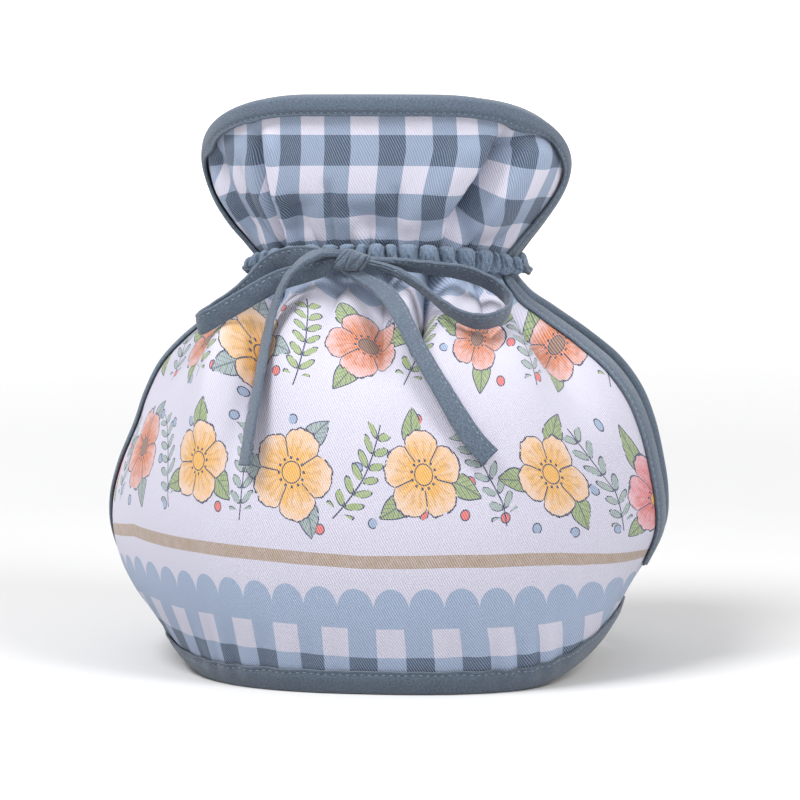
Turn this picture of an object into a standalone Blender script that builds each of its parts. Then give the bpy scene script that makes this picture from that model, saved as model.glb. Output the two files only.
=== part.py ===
"""Drawstring tea cosy: two padded panels with a frill, bound edges, ruched casings and a tape bow.

The cosy stands on its hem on the XY plane, front towards -Y, spout slit at -X, handle slit at +X.
A place on a panel is given in cloth coordinates: "across" is measured along the cloth from its middle
(spout side negative) and "up" is measured along the cloth from the hem. Everything is in metres.
"""
import math
from collections import namedtuple

import bmesh
import bpy
import numpy as np

CLOTH = 0.0022            # thickness of a padded panel
STRIP = 0.0007            # thickness of the binding strip
TAPE = 0.0010             # thickness of the tie
CASING = 0.0009           # thickness of the casing cloth
GAP = 0.0003              # air between pieces that touch on the real cosy
STRIP_EASE = 0.00015      # and a little more under the strip, where the cloth bends

BINDING_WIDTH = 0.0062    # of the folded strip, from the bound edge inwards
HEM_WIDTH = 0.0080        # the same at the hem
NOSE_ROUND = 0.0007       # its rounded fold stands this far off the edge
NOSE_SHARE = 0.62
TAPE_WIDTH = 0.0068
CASING_WIDTH = 0.0092

TOP_UP = 0.2095           # cloth height of the frill's top edge
NECK_UP = 0.1510          # cloth height of the casing's middle
SPOUT_SLIT_UP = 0.0300    # cloth height where each slit starts
HANDLE_SLIT_UP = 0.0230
CORNER_RISE = 0.0300      # rounded top corners of the frill
SPOUT_CORNER = (0.0560, 1.80)    # their width, and the power of their curve
HANDLE_CORNER = (0.0570, 1.94)
HEM_LIFT = 0.0017         # the panels' lower edge above the floor, inside the hem binding
SPOUT_LIFT = 0.0055       # how far the hem is drawn up at each side seam
HANDLE_LIFT = 0.0140
SPOUT_LIFT_START = 0.44   # share of the way round to the seam where the lift starts
HANDLE_LIFT_START = 0.43
LIFT_END = 1.05           # share where it ends
LIFT_FADE = 0.075         # cloth height where the lift has faded out

# Shape of the cosy up the cloth. Flat is 1 for a round front and more for a flatter one. The crown is
# how much higher the middle of a panel is than its sides.
Ring = namedtuple("Ring", "up height spout_half handle_half half_depth flat crown")
RINGS = (
    Ring(0.0000, 0.0000, 0.0696, 0.0726, 0.0690, 1.26, 0.0000),
    Ring(0.0120, 0.0116, 0.0783, 0.0782, 0.0722, 1.26, 0.0000),
    Ring(0.0250, 0.0240, 0.0867, 0.0840, 0.0752, 1.25, 0.0000),
    Ring(0.0400, 0.0386, 0.0909, 0.0885, 0.0774, 1.22, 0.0004),
    Ring(0.0520, 0.0505, 0.0905, 0.0887, 0.0778, 1.20, 0.0008),
    Ring(0.0650, 0.0634, 0.0870, 0.0871, 0.0768, 1.18, 0.0012),
    Ring(0.0800, 0.0780, 0.0807, 0.0837, 0.0740, 1.16, 0.0018),
    Ring(0.0900, 0.0873, 0.0775, 0.0798, 0.0706, 1.14, 0.0022),
    Ring(0.1010, 0.0968, 0.0728, 0.0728, 0.0650, 1.12, 0.0027),
    Ring(0.1115, 0.1042, 0.0662, 0.0640, 0.0574, 1.10, 0.0032),
    Ring(0.1250, 0.1124, 0.0560, 0.0523, 0.0468, 1.08, 0.0037),
    Ring(0.1370, 0.1188, 0.0474, 0.0432, 0.0380, 1.06, 0.0041),
    Ring(0.1510, 0.1292, 0.0405, 0.0374, 0.0318, 1.05, 0.0045),
    Ring(0.1600, 0.1370, 0.0455, 0.0422, 0.0335, 1.05, 0.0038),
    Ring(0.1680, 0.1434, 0.0506, 0.0470, 0.0360, 1.05, 0.0030),
    Ring(0.1780, 0.1520, 0.0557, 0.0531, 0.0392, 1.05, 0.0022),
    Ring(0.1890, 0.1622, 0.0589, 0.0576, 0.0418, 1.05, 0.0015),
    Ring(0.2095, 0.1825, 0.0590, 0.0578, 0.0450, 1.05, 0.0012),
)

# Side edges of a panel. The gap is to the middle plane Y = 0; the turn is how far round from
# straight ahead the cloth has curved where it ends.
Edge = namedtuple("Edge", "up gap turn")
SPOUT_EDGE = (
    Edge(0.0000, 0.0005, 88.0),
    Edge(0.0100, 0.0006, 88.0),
    Edge(0.0200, 0.0010, 88.0),
    Edge(0.0300, 0.0032, 88.0),
    Edge(0.0450, 0.0100, 86.0),
    Edge(0.0620, 0.0160, 84.0),
    Edge(0.0800, 0.0200, 82.0),
    Edge(0.1000, 0.0185, 82.0),
    Edge(0.1250, 0.0120, 84.0),
    Edge(0.1510, 0.0075, 86.0),
    Edge(0.1700, 0.0080, 88.0),
    Edge(0.2095, 0.0100, 90.0),
)
HANDLE_EDGE = (
    Edge(0.0000, 0.0005, 88.0),
    Edge(0.0080, 0.0006, 86.0),
    Edge(0.0150, 0.0012, 83.0),
    Edge(0.0230, 0.0034, 76.0),
    Edge(0.0380, 0.0085, 66.0),
    Edge(0.0550, 0.0125, 60.0),
    Edge(0.0800, 0.0140, 58.0),
    Edge(0.1000, 0.0135, 58.0),
    Edge(0.1250, 0.0110, 62.0),
    Edge(0.1510, 0.0072, 76.0),
    Edge(0.1700, 0.0062, 80.0),
    Edge(0.2095, 0.0070, 80.0),
)

# Main folds: a soft ridge (positive rise) or valley (negative) between two places on the cloth.
Fold = namedtuple("Fold", "top_across top_up low_across low_up rise half_width")
FRONT_FOLDS = (
    Fold(-0.0290, 0.1450, -0.0400, 0.0700, -0.0046, 0.0060),
    Fold(-0.0400, 0.1440, -0.0540, 0.0700, 0.0040, 0.0075),
    Fold(-0.0180, 0.1430, -0.0270, 0.0850, 0.0028, 0.0070),
    Fold(-0.0500, 0.1340, -0.0850, 0.0850, -0.0026, 0.0090),
    Fold(-0.0020, 0.1450, 0.0040, 0.0950, -0.0040, 0.0055),
    Fold(0.0070, 0.1440, 0.0130, 0.1000, 0.0022, 0.0055),
    Fold(0.0150, 0.1450, 0.0180, 0.1120, -0.0032, 0.0050),
    Fold(0.0430, 0.1400, 0.0850, 0.0800, -0.0030, 0.0095),
    Fold(0.0340, 0.1430, 0.0600, 0.0850, 0.0024, 0.0080),
    Fold(-0.0580, 0.1950, -0.0420, 0.1550, -0.0036, 0.0060),
    Fold(-0.0680, 0.1950, -0.0500, 0.1600, 0.0024, 0.0070),
    Fold(0.0430, 0.1980, 0.0160, 0.1560, -0.0056, 0.0068),
    Fold(0.0540, 0.1960, 0.0290, 0.1580, 0.0030, 0.0080),
    Fold(0.0300, 0.1960, 0.0060, 0.1580, 0.0016, 0.0070),
    Fold(-0.0030, 0.1720, -0.0010, 0.1560, -0.0026, 0.0050),
    Fold(-0.0240, 0.1740, -0.0250, 0.1560, -0.0026, 0.0050),
)
BACK_FOLDS = (
    Fold(0.0420, 0.1450, 0.0560, 0.0800, 0.0036, 0.0090),
    Fold(0.0300, 0.1450, 0.0380, 0.0850, -0.0034, 0.0070),
    Fold(-0.0300, 0.1450, -0.0520, 0.0800, -0.0036, 0.0085),
    Fold(0.0060, 0.1450, 0.0120, 0.0900, -0.0036, 0.0070),
    Fold(-0.0480, 0.1400, -0.0780, 0.0850, 0.0028, 0.0100),
    Fold(-0.0340, 0.1950, -0.0180, 0.1560, -0.0048, 0.0075),
    Fold(0.0380, 0.1950, 0.0260, 0.1560, -0.0040, 0.0075),
    Fold(0.0040, 0.1950, 0.0000, 0.1560, 0.0030, 0.0090),
)

FOLD_START = 0.20         # a fold fades in from this share of its length above its top place
FOLD_IN = 0.30
FOLD_END = 1.15           # and has faded out at this share
FOLD_OUT = 0.55
RIM_FLAT = 0.0055         # no folds this close to a bound edge, nor under the casing
RIM_FADE = 0.0100
NECK_FADE = 0.0090

PANEL_COLUMNS = 30
STRAIGHT_ROWS = 22        # below the frill's rounded corners
CORNER_ROWS = 5           # up to a corner's middle, and as many columns on from there
CORNER_LOOSE = 0.0006     # how much looser the binding sits round the frill's edge
TOP_BEND = 0.040          # the rows bow up towards the top edge over this height
HEM_STEPS = 26            # along each half of the hem
SEAM_SHARE = 0.975        # how far round each half the hem strip follows its panel
LEVEL_BAND = 0.00030      # what is this close to the floor stands on it

RUCHES = 13
RUCHE_RISE = 0.0009
RUCHE_DRIFT = 0.9         # how far the ruches stray from an even pitch
RUCHE_DRIFT_RATE = 9.0
RUCHE_WIDEN = 0.10        # share by which the casing is wider at a ruche's crest
CASING_OUT = 0.0038       # of the casing's edges from the panel's middle surface
CASING_PUFF = 0.0010
CASING_HUG = 0.75         # share of the casing's width that follows the neck's hollow
SPOUT_CASING_END = 0.0035     # how far the casing passes the panel's side edge
HANDLE_CASING_END = 0.0015
EDGE_RAMP = 0.016         # the casing climbs over the edge binding within this length
SPOUT_EDGE_OUT = 0.0030   # and stands out by this much where it ends
HANDLE_EDGE_OUT = 0.0018
CROSSING_STEPS = 6        # the tie between the casings' ends
CROSSING_BOW = 0.0015
CROSSING_SAG = 0.0010

# Routes of the tie. Lean and tip turn the tape's width from upright: lean towards +X, tip towards -Y,
# in degrees. Squeeze is the share of the full width, which the knot draws in.
Stop = namedtuple("Stop", "x y z lean tip squeeze")
LOOP_LEFT = (
    Stop(-0.0142, -0.0393, 0.1343, -4.0, 4.0, 0.60),
    Stop(-0.0192, -0.0374, 0.1354, -4.0, 8.0, 0.90),
    Stop(-0.0260, -0.0342, 0.1353, -6.0, 12.0, 1.00),
    Stop(-0.0332, -0.0314, 0.1337, -10.0, 16.0, 1.00),
    Stop(-0.0386, -0.0309, 0.1300, -16.0, 20.0, 1.00),
    Stop(-0.0426, -0.0352, 0.1252, -18.0, 22.0, 1.00),
    Stop(-0.0472, -0.0398, 0.1210, -14.0, 22.0, 1.00),
    Stop(-0.0527, -0.0412, 0.1173, -6.0, 22.0, 1.00),
    Stop(-0.0568, -0.0434, 0.1147, 0.0, 20.0, 1.00),
    Stop(-0.0562, -0.0470, 0.1140, -4.0, 20.0, 1.00),
    Stop(-0.0510, -0.0500, 0.1168, -14.0, 20.0, 1.00),
    Stop(-0.0440, -0.0470, 0.1209, -22.0, 18.0, 1.00),
    Stop(-0.0385, -0.0440, 0.1242, -22.0, 16.0, 1.00),
    Stop(-0.0318, -0.0416, 0.1278, -18.0, 12.0, 1.00),
    Stop(-0.0238, -0.0412, 0.1302, -12.0, 8.0, 0.95),
    Stop(-0.0175, -0.0414, 0.1315, -8.0, 4.0, 0.80),
    Stop(-0.0141, -0.0415, 0.1314, -6.0, 4.0, 0.60),
)
LOOP_RIGHT = (
    Stop(-0.0024, -0.0396, 0.1354, 0.0, 30.0, 0.60),
    Stop(0.0022, -0.0398, 0.1344, 2.0, 40.0, 0.85),
    Stop(0.0100, -0.0399, 0.1334, 4.0, 45.0, 1.00),
    Stop(0.0182, -0.0390, 0.1321, 6.0, 45.0, 1.00),
    Stop(0.0262, -0.0372, 0.1307, 8.0, 45.0, 1.00),
    Stop(0.0326, -0.0356, 0.1285, 12.0, 45.0, 1.00),
    Stop(0.0380, -0.0352, 0.1255, 18.0, 45.0, 1.00),
    Stop(0.0416, -0.0370, 0.1220, 22.0, 45.0, 1.00),
    Stop(0.0420, -0.0420, 0.1188, 16.0, 45.0, 1.00),
    Stop(0.0390, -0.0470, 0.1168, 8.0, 45.0, 1.00),
    Stop(0.0340, -0.0502, 0.1160, 0.0, 45.0, 1.00),
    Stop(0.0282, -0.0512, 0.1174, -8.0, 45.0, 1.00),
    Stop(0.0226, -0.0494, 0.1204, -12.0, 44.0, 1.00),
    Stop(0.0168, -0.0466, 0.1242, -12.0, 42.0, 1.00),
    Stop(0.0108, -0.0442, 0.1277, -8.0, 38.0, 1.00),
    Stop(0.0046, -0.0428, 0.1304, -4.0, 32.0, 0.85),
    Stop(-0.0024, -0.0420, 0.1324, 0.0, 26.0, 0.60),
)
TAIL_LEFT = (
    Stop(-0.0114, -0.0436, 0.1360, 0.0, -70.0, 0.55),
    Stop(-0.0182, -0.0460, 0.1368, -10.0, -66.0, 0.90),
    Stop(-0.0228, -0.0470, 0.1350, -30.0, -62.0, 1.00),
    Stop(-0.0264, -0.0474, 0.1318, -44.0, -60.0, 1.00),
    Stop(-0.0290, -0.0476, 0.1280, -56.0, -60.0, 1.00),
    Stop(-0.0312, -0.0486, 0.1222, -68.0, -60.0, 1.00),
    Stop(-0.0326, -0.0530, 0.1150, -74.0, -60.0, 1.00),
    Stop(-0.0332, -0.0602, 0.1072, -76.0, -60.0, 1.00),
    Stop(-0.0338, -0.0664, 0.0998, -78.0, -60.0, 1.00),
    Stop(-0.0346, -0.0708, 0.0922, -78.0, -60.0, 1.00),
    Stop(-0.0354, -0.0738, 0.0860, -78.0, -60.0, 1.00),
    Stop(-0.0362, -0.0760, 0.0794, -78.0, -58.0, 1.00),
    Stop(-0.0370, -0.0774, 0.0726, -78.0, -56.0, 0.92),
)
TAIL_RIGHT = (
    Stop(-0.0112, -0.0404, 0.1281, 8.0, 0.0, 0.30),
    Stop(-0.0047, -0.0407, 0.1262, 22.0, -6.0, 0.74),
    Stop(0.0010, -0.0446, 0.1238, 42.0, -14.0, 1.00),
    Stop(0.0055, -0.0508, 0.1201, 60.0, -20.0, 1.00),
    Stop(0.0099, -0.0583, 0.1156, 68.0, -23.0, 1.00),
    Stop(0.0155, -0.0642, 0.1079, 66.0, -24.0, 1.00),
    Stop(0.0205, -0.0676, 0.1012, 62.0, -22.0, 1.00),
    Stop(0.0255, -0.0706, 0.0940, 60.0, -20.0, 1.00),
    Stop(0.0299, -0.0723, 0.0870, 58.0, -17.0, 1.00),
    Stop(0.0341, -0.0730, 0.0806, 57.0, -14.0, 1.00),
    Stop(0.0370, -0.0728, 0.0762, 56.0, -12.0, 1.00),
)
KNOT_PLACE = (-0.0083, -0.0407, 0.1337)
KNOT_SIZE = (0.0108, 0.0070, 0.0080)
KNOT_LEAN = 22.0          # degrees, spout end down
KNOT_PINCH = 0.35
CORD_RADIUS = 0.0013      # the tie drawn up narrow where it crosses a slit

LENGTH_STEPS = 24         # for measuring along the cloth
NORMAL_STEP = 0.0004
LOOK_AHEAD = 0.01         # share of the way to the next stop, for a tape's heading
MERGE = 1e-6
PRINTED_COLOUR = (0.75, 0.74, 0.84)
SLATE_COLOUR = (0.13, 0.19, 0.24)
FRONT = -1.0
BACK = 1.0
FOLDS = {FRONT: FRONT_FOLDS, BACK: BACK_FOLDS}
# The back frill stands a little narrower and lower than the front one, from this cloth height up.
TUCK_UP = 0.1600
TUCK_RISE = 0.0360
TUCK_SHARE = 0.055
TUCK_DROP = 0.0018


def curve_through(knots, values, at):
    """Values between knots, on a smooth curve."""
    slopes = np.gradient(values, knots)
    low = np.clip(np.searchsorted(knots, at) - 1, 0, len(knots) - 2)
    span = knots[low + 1] - knots[low]
    t = (at - knots[low]) / span
    start = (1 + 2 * t) * (1 - t) ** 2 * values[low] + t * (1 - t) ** 2 * span * slopes[low]
    end = t * t * (3 - 2 * t) * values[low + 1] - t * t * (1 - t) * span * slopes[low + 1]
    return start + end


def smooth(rows, column, at):
    """Read one column of a table at the given cloth heights."""
    knots = np.array([row.up for row in rows])
    values = np.array([getattr(row, column) for row in rows])
    return curve_through(knots, values, at)


def ease(t):
    """Run smoothly from 0 to 1."""
    t = np.clip(t, 0.0, 1.0)
    return t * t * (3 - 2 * t)


def section(up, side, share):
    """Place on a panel's level section: share runs from 0 in the middle to 1 at the side edge."""
    rows = HANDLE_EDGE if side > 0 else SPOUT_EDGE
    turn = np.radians(smooth(rows, "turn", up))
    gap = smooth(rows, "gap", up)
    depth = smooth(RINGS, "half_depth", up)
    half = smooth(RINGS, "handle_half" if side > 0 else "spout_half", up)
    outward = half * np.sin(share * turn) / np.sin(turn)
    fallen = (1 - np.cos(share * turn)) / (1 - np.cos(turn))
    forward = depth - (depth - gap) * fallen ** smooth(RINGS, "flat", up)
    return outward, forward


def half_flat(up, side):
    """Length along the cloth from the middle of a panel to its side edge."""
    length = np.zeros_like(up)
    before = section(up, side, 0.0)
    for step in range(1, LENGTH_STEPS + 1):
        here = section(up, side, step / LENGTH_STEPS)
        length += np.hypot(here[0] - before[0], here[1] - before[1])
        before = here
    return length


def fold_rise(face, across, up):
    """How far the folds lift the cloth off its smooth shape."""
    rise = np.zeros_like(across)
    for fold in FOLDS[face]:
        along = (fold.top_up - up) / (fold.top_up - fold.low_up)
        centre = fold.top_across + (fold.low_across - fold.top_across) * along
        fade = ease((FOLD_END - along) / FOLD_OUT) * ease((along + FOLD_START) / FOLD_IN)
        rise += fold.rise * fade * np.exp(-((across - centre) / fold.half_width) ** 2)
    half = np.where(across > 0, half_cut(up, 1.0), half_cut(up, -1.0))
    from_rim = np.minimum(TOP_UP - up, half - np.abs(across))
    from_neck = np.abs(up - NECK_UP) - CASING_WIDTH / 2
    return rise * ease((from_rim - RIM_FLAT) / RIM_FADE) * ease(from_neck / NECK_FADE)


def hem_lift(up, side, share):
    """How far the cloth is drawn up near a side seam."""
    lift = HANDLE_LIFT if side > 0 else SPOUT_LIFT
    start = HANDLE_LIFT_START if side > 0 else SPOUT_LIFT_START
    return HEM_LIFT + lift * ease((share - start) / (LIFT_END - start)) * ease(1 - up / LIFT_FADE)


def smooth_shape(face, across, up):
    """Places on the panel's middle surface before its folds."""
    points = np.zeros(across.shape + (3,))
    for side in (-1.0, 1.0):
        chosen = across * side >= 0
        if not chosen.any():
            continue
        a, u = np.abs(across[chosen]), up[chosen]
        share = a / half_flat(u, side)
        outward, forward = section(u, side, share)
        crown = smooth(RINGS, "crown", u) * np.cos(np.clip(share, 0, 1) * math.pi / 2)
        tuck = ease((u - TUCK_UP) / TUCK_RISE) if face == BACK else 0.0
        points[chosen, 0] = side * outward * (1 - TUCK_SHARE * tuck)
        points[chosen, 1] = face * forward
        points[chosen, 2] = (smooth(RINGS, "height", u) + crown + hem_lift(u, side, share)
                             - TUCK_DROP * tuck)
    return points


def facing(face, place, across, up):
    """Outward directions of a surface that the function place gives."""
    right = place(face, across + NORMAL_STEP, up) - place(face, across - NORMAL_STEP, up)
    rising = place(face, across, up + NORMAL_STEP) - place(face, across, up - NORMAL_STEP)
    out = np.cross(right, rising) * -face
    return out / np.linalg.norm(out, axis=-1, keepdims=True)


def folded_shape(face, across, up):
    """Places on the panel's middle surface, with its folds."""
    lift = fold_rise(face, across, up)[..., None]
    return smooth_shape(face, across, up) + lift * facing(face, smooth_shape, across, up)


def cloth(face, across, up, out=0.0):
    """Places at a distance out from the panel's middle surface."""
    across, up = np.broadcast_arrays(np.asarray(across, float), np.asarray(up, float))
    points = folded_shape(face, across, up)
    return points + np.asarray(out)[..., None] * facing(face, folded_shape, across, up)


def half_cut(up, side):
    """Half width of the cut panel, with the frill's rounded top corner."""
    width, power = HANDLE_CORNER if side > 0 else SPOUT_CORNER
    into = np.clip((up - (TOP_UP - CORNER_RISE)) / CORNER_RISE, 0.0, 1.0)
    return half_flat(up, side) - width * (1 - (1 - into ** power) ** (1 / power))


def sheet_mesh(name, columns, rows, place, closed=False):
    """Mesh of a grid whose corners the function place gives from shares 0 to 1 each way."""
    work = bmesh.new()
    bmesh.ops.create_grid(work, x_segments=columns, y_segments=rows, size=0.5)
    shares = np.array([vert.co[:2] for vert in work.verts]) + 0.5
    for vert, point in zip(work.verts, place(shares[:, 0], shares[:, 1])):
        vert.co = point
    if closed:
        bmesh.ops.remove_doubles(work, verts=work.verts, dist=MERGE)
    mesh = bpy.data.meshes.new(name)
    work.to_mesh(mesh)
    work.free()
    return mesh


def material(name, colour, roughness):
    """Plain cloth finish."""
    finish = bpy.data.materials.new(name)
    finish.use_nodes = True
    shader = finish.node_tree.nodes["Principled BSDF"]
    shader.inputs["Base Color"].default_value = (*colour, 1.0)
    shader.inputs["Roughness"].default_value = roughness
    shader.inputs["Metallic"].default_value = 0.0
    return finish


def add_cloth(name, mesh, thickness, finish, collection):
    """Object of one piece of cloth, thickened evenly about its middle surface."""
    thing = bpy.data.objects.new(name, mesh)
    collection.objects.link(thing)
    mesh.materials.append(finish)
    thicken = thing.modifiers.new("thickness", "SOLIDIFY")
    thicken.thickness = thickness
    thicken.offset = 0.0
    mesh.shade_smooth()
    return thing


def side_line(side):
    """Cloth coordinates of one side edge, from the hem to the top corner's middle and on to its end."""
    straight = np.linspace(0.0, TOP_UP - CORNER_RISE, STRAIGHT_ROWS, endpoint=False)
    turns = np.linspace(0.0, math.pi / 2, 2 * CORNER_ROWS + 1)
    corner = TOP_UP - CORNER_RISE * (1 - np.sin(turns))
    up = np.concatenate((straight, corner))
    return np.stack((side * half_cut(up, side), up), axis=-1)


def panel_outline():
    """Cloth coordinates of a panel's left, right and top edges, which meet in its corners' middles."""
    left, right = side_line(-1.0), side_line(1.0)
    rows = STRAIGHT_ROWS + CORNER_ROWS
    inner = PANEL_COLUMNS - 2 * CORNER_ROWS
    across = np.linspace(left[-1, 0], right[-1, 0], inner + 1)[1:-1]
    middle = np.stack((across, np.full(inner - 1, TOP_UP)), axis=-1)
    top = np.concatenate((left[rows:], middle, right[rows:][::-1]))
    return left[:rows + 1], right[:rows + 1], top


def add_panel(name, face, finish, collection):
    """One padded panel, frill and body in one piece."""
    left, right, top = panel_outline()
    bend = ease((left[:, 1] - TOP_UP + TOP_BEND) / (left[-1, 1] - TOP_UP + TOP_BEND))

    def place(rightward, upward):
        column = np.rint(rightward * PANEL_COLUMNS).astype(int)
        row = np.rint(upward * (len(left) - 1)).astype(int)
        share = rightward[:, None]
        level = left[row] * (1 - share) + right[row] * share
        bulge = top[column] - top[0] * (1 - share) - top[-1] * share
        at = level + bend[row][:, None] * bulge
        return cloth(face, at[:, 0], at[:, 1])

    mesh = sheet_mesh(name, PANEL_COLUMNS, len(left) - 1, place)
    return add_cloth(name, mesh, CLOTH, finish, collection)


def bound_edge():
    """Cloth coordinates of the bound edge: up the handle side, over the top, down the spout side."""
    left, right, top = panel_outline()
    rising = right[right[:, 1] > HANDLE_SLIT_UP + 0.002]
    falling = left[left[:, 1] > SPOUT_SLIT_UP + 0.002][::-1]
    starts = [np.array([[side * half_flat(np.array([up]), side)[0], up]])
              for side, up in ((1.0, HANDLE_SLIT_UP), (-1.0, SPOUT_SLIT_UP))]
    line = np.concatenate((starts[0], rising, top[1:-1][::-1], falling, starts[1]))
    return line[:, 0], line[:, 1]


def inward(across, up):
    """Steps into the cloth from its edge: along the rows at the sides, square to the edge elsewhere."""
    along = np.stack((np.gradient(across), np.gradient(up)), axis=-1)
    along /= np.linalg.norm(along, axis=-1, keepdims=True)
    into_across, into_up = -along[:, 1], along[:, 0]
    side = up < TOP_UP - CORNER_RISE
    into_across[side] = 1 / into_across[side]
    into_up[side] = 0.0
    return into_across, into_up


def fold_profile(width):
    """Section of a strip folded over an edge: how far in from the edge and how far out from the middle."""
    out = CLOTH / 2 + GAP + STRIP_EASE + STRIP / 2
    nose = GAP + STRIP / 2 + NOSE_ROUND
    reach = width - nose
    side = [(reach, out), (-GAP, out), (-nose, out * NOSE_SHARE)]
    return np.array(side + [(into, -away) for into, away in reversed(side)])


def add_binding(name, face, finish, collection):
    """Strip folded over the top and slit edges of one panel."""
    across, up = bound_edge()
    into_across, into_up = inward(across, up)
    profile = fold_profile(BINDING_WIDTH)

    def place(along, around):
        i = np.rint(along * (len(across) - 1)).astype(int)
        into, out = profile[np.rint(around * (len(profile) - 1)).astype(int)].T
        loose = CORNER_LOOSE * ease((up[i] - TOP_UP + 2 * CORNER_RISE) / CORNER_RISE)
        away = out + np.sign(out) * loose
        return cloth(face, across[i] + into_across[i] * into, up[i] + into_up[i] * into, away)

    mesh = sheet_mesh(name, len(across) - 1, len(profile) - 1, place)
    return add_cloth(name, mesh, STRIP, finish, collection)


def add_hem(finish, collection):
    """Strip folded over the lower edge of both panels, all the way round, level where it stands."""
    profile = fold_profile(HEM_WIDTH)
    shares = np.linspace(-SEAM_SHARE, SEAM_SHARE, HEM_STEPS)
    lower = np.zeros(HEM_STEPS)
    half = np.where(shares > 0, half_flat(lower, 1.0), half_flat(lower, -1.0))
    across = np.concatenate((shares * half, (shares * half)[::-1]))
    faces = np.repeat((FRONT, BACK), HEM_STEPS)

    def place(along, around):
        i = np.rint(along * 2 * HEM_STEPS).astype(int) % (2 * HEM_STEPS)
        into, out = profile[np.rint(around * (len(profile) - 1)).astype(int)].T
        points = np.zeros(i.shape + (3,))
        for face in (FRONT, BACK):
            chosen = faces[i] == face
            points[chosen] = cloth(face, across[i[chosen]], into[chosen], out[chosen])
        nose = into < -GAP
        for turn in np.unique(i):
            level = nose & (i == turn)
            points[level, 2] = points[level, 2].mean()
        return points

    mesh = sheet_mesh("hem_binding", 2 * HEM_STEPS, len(profile) - 1, place, closed=True)
    hem = add_cloth("hem_binding", mesh, STRIP, finish, collection)
    flatten_underside(hem)
    return hem


def flatten_underside(thing):
    """Apply the modifiers and make the part that stands on the floor exactly level."""
    solid = bpy.data.meshes.new_from_object(thing.evaluated_get(bpy.context.evaluated_depsgraph_get()))
    thing.modifiers.clear()
    thing.data = solid
    for vert in solid.vertices:
        if vert.co.z < LEVEL_BAND:
            vert.co.z = 0.0


def add_casing(name, face, finish, collection):
    """Drawstring casing outside the neck, ruched along the tie inside it."""
    middle = np.array([NECK_UP])
    ends = (-half_flat(middle, -1.0)[0] - SPOUT_CASING_END, half_flat(middle, 1.0)[0] + HANDLE_CASING_END)

    def place(along, around):
        across = ends[0] + (ends[1] - ends[0]) * along
        reach = np.maximum((across - ends[1]) / EDGE_RAMP, (ends[0] - across) / EDGE_RAMP) + 1
        edge_out = np.where(across > 0, HANDLE_EDGE_OUT, SPOUT_EDGE_OUT)
        drift = RUCHE_DRIFT * np.sin(RUCHE_DRIFT_RATE * along)
        ruche = np.cos(2 * math.pi * RUCHES * along + drift)
        puff = 1 - (2 * around - 1) ** 2
        out = CASING_OUT + RUCHE_RISE * ruche + CASING_PUFF * puff + edge_out * ease(reach)
        rise = CASING_WIDTH * (around - 0.5) * (1 + RUCHE_WIDEN * ruche)
        points = cloth(face, across, NECK_UP + CASING_HUG * rise, out)
        points[:, 2] += (1 - CASING_HUG) * rise
        return points

    mesh = sheet_mesh(name, 4 * RUCHES, 2, place)
    return add_cloth(name, mesh, CASING, finish, collection)


def add_tape(name, stops, finish, collection):
    """Flat tape along a route, turned and squeezed as its stops say."""
    numbers = np.arange(len(stops), dtype=float)
    columns = {field: np.array([getattr(stop, field) for stop in stops]) for field in Stop._fields}

    def place(along, around):
        at = along * (len(stops) - 1)
        here = {field: curve_through(numbers, values, at) for field, values in columns.items()}
        lean, tip = np.radians(here["lean"]), np.radians(here["tip"])
        width = np.stack((np.sin(lean) * np.cos(tip), -np.sin(tip), np.cos(lean) * np.cos(tip)), axis=-1)
        ahead = np.stack([curve_through(numbers, columns[f], at + LOOK_AHEAD) for f in "xyz"], axis=-1)
        centre = np.stack([here[f] for f in "xyz"], axis=-1)
        heading = ahead - centre
        heading /= np.linalg.norm(heading, axis=-1, keepdims=True)
        width -= heading * np.sum(width * heading, axis=-1, keepdims=True)
        width /= np.linalg.norm(width, axis=-1, keepdims=True)
        reach = TAPE_WIDTH * here["squeeze"] * (around - 0.5)
        return centre + width * reach[:, None]

    mesh = sheet_mesh(name, 2 * (len(stops) - 1), 1, place)
    return add_cloth(name, mesh, TAPE, finish, collection)


def add_knot(finish, collection):
    """The bow's knot, a soft lump drawn in where the loops leave it."""
    work = bmesh.new()
    bmesh.ops.create_uvsphere(work, u_segments=14, v_segments=8, radius=0.5)
    for vert in work.verts:
        x, y, z = vert.co
        pinch = 1 - KNOT_PINCH * (2 * abs(x)) ** 3
        vert.co = (x * KNOT_SIZE[0], y * KNOT_SIZE[1] * pinch, z * KNOT_SIZE[2] * pinch)
    mesh = bpy.data.meshes.new("bow_knot")
    work.to_mesh(mesh)
    work.free()
    mesh.materials.append(finish)
    mesh.shade_smooth()
    knot = bpy.data.objects.new("bow_knot", mesh)
    collection.objects.link(knot)
    knot.location = KNOT_PLACE
    knot.rotation_euler = (0.0, math.radians(-KNOT_LEAN), 0.0)
    return knot


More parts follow.
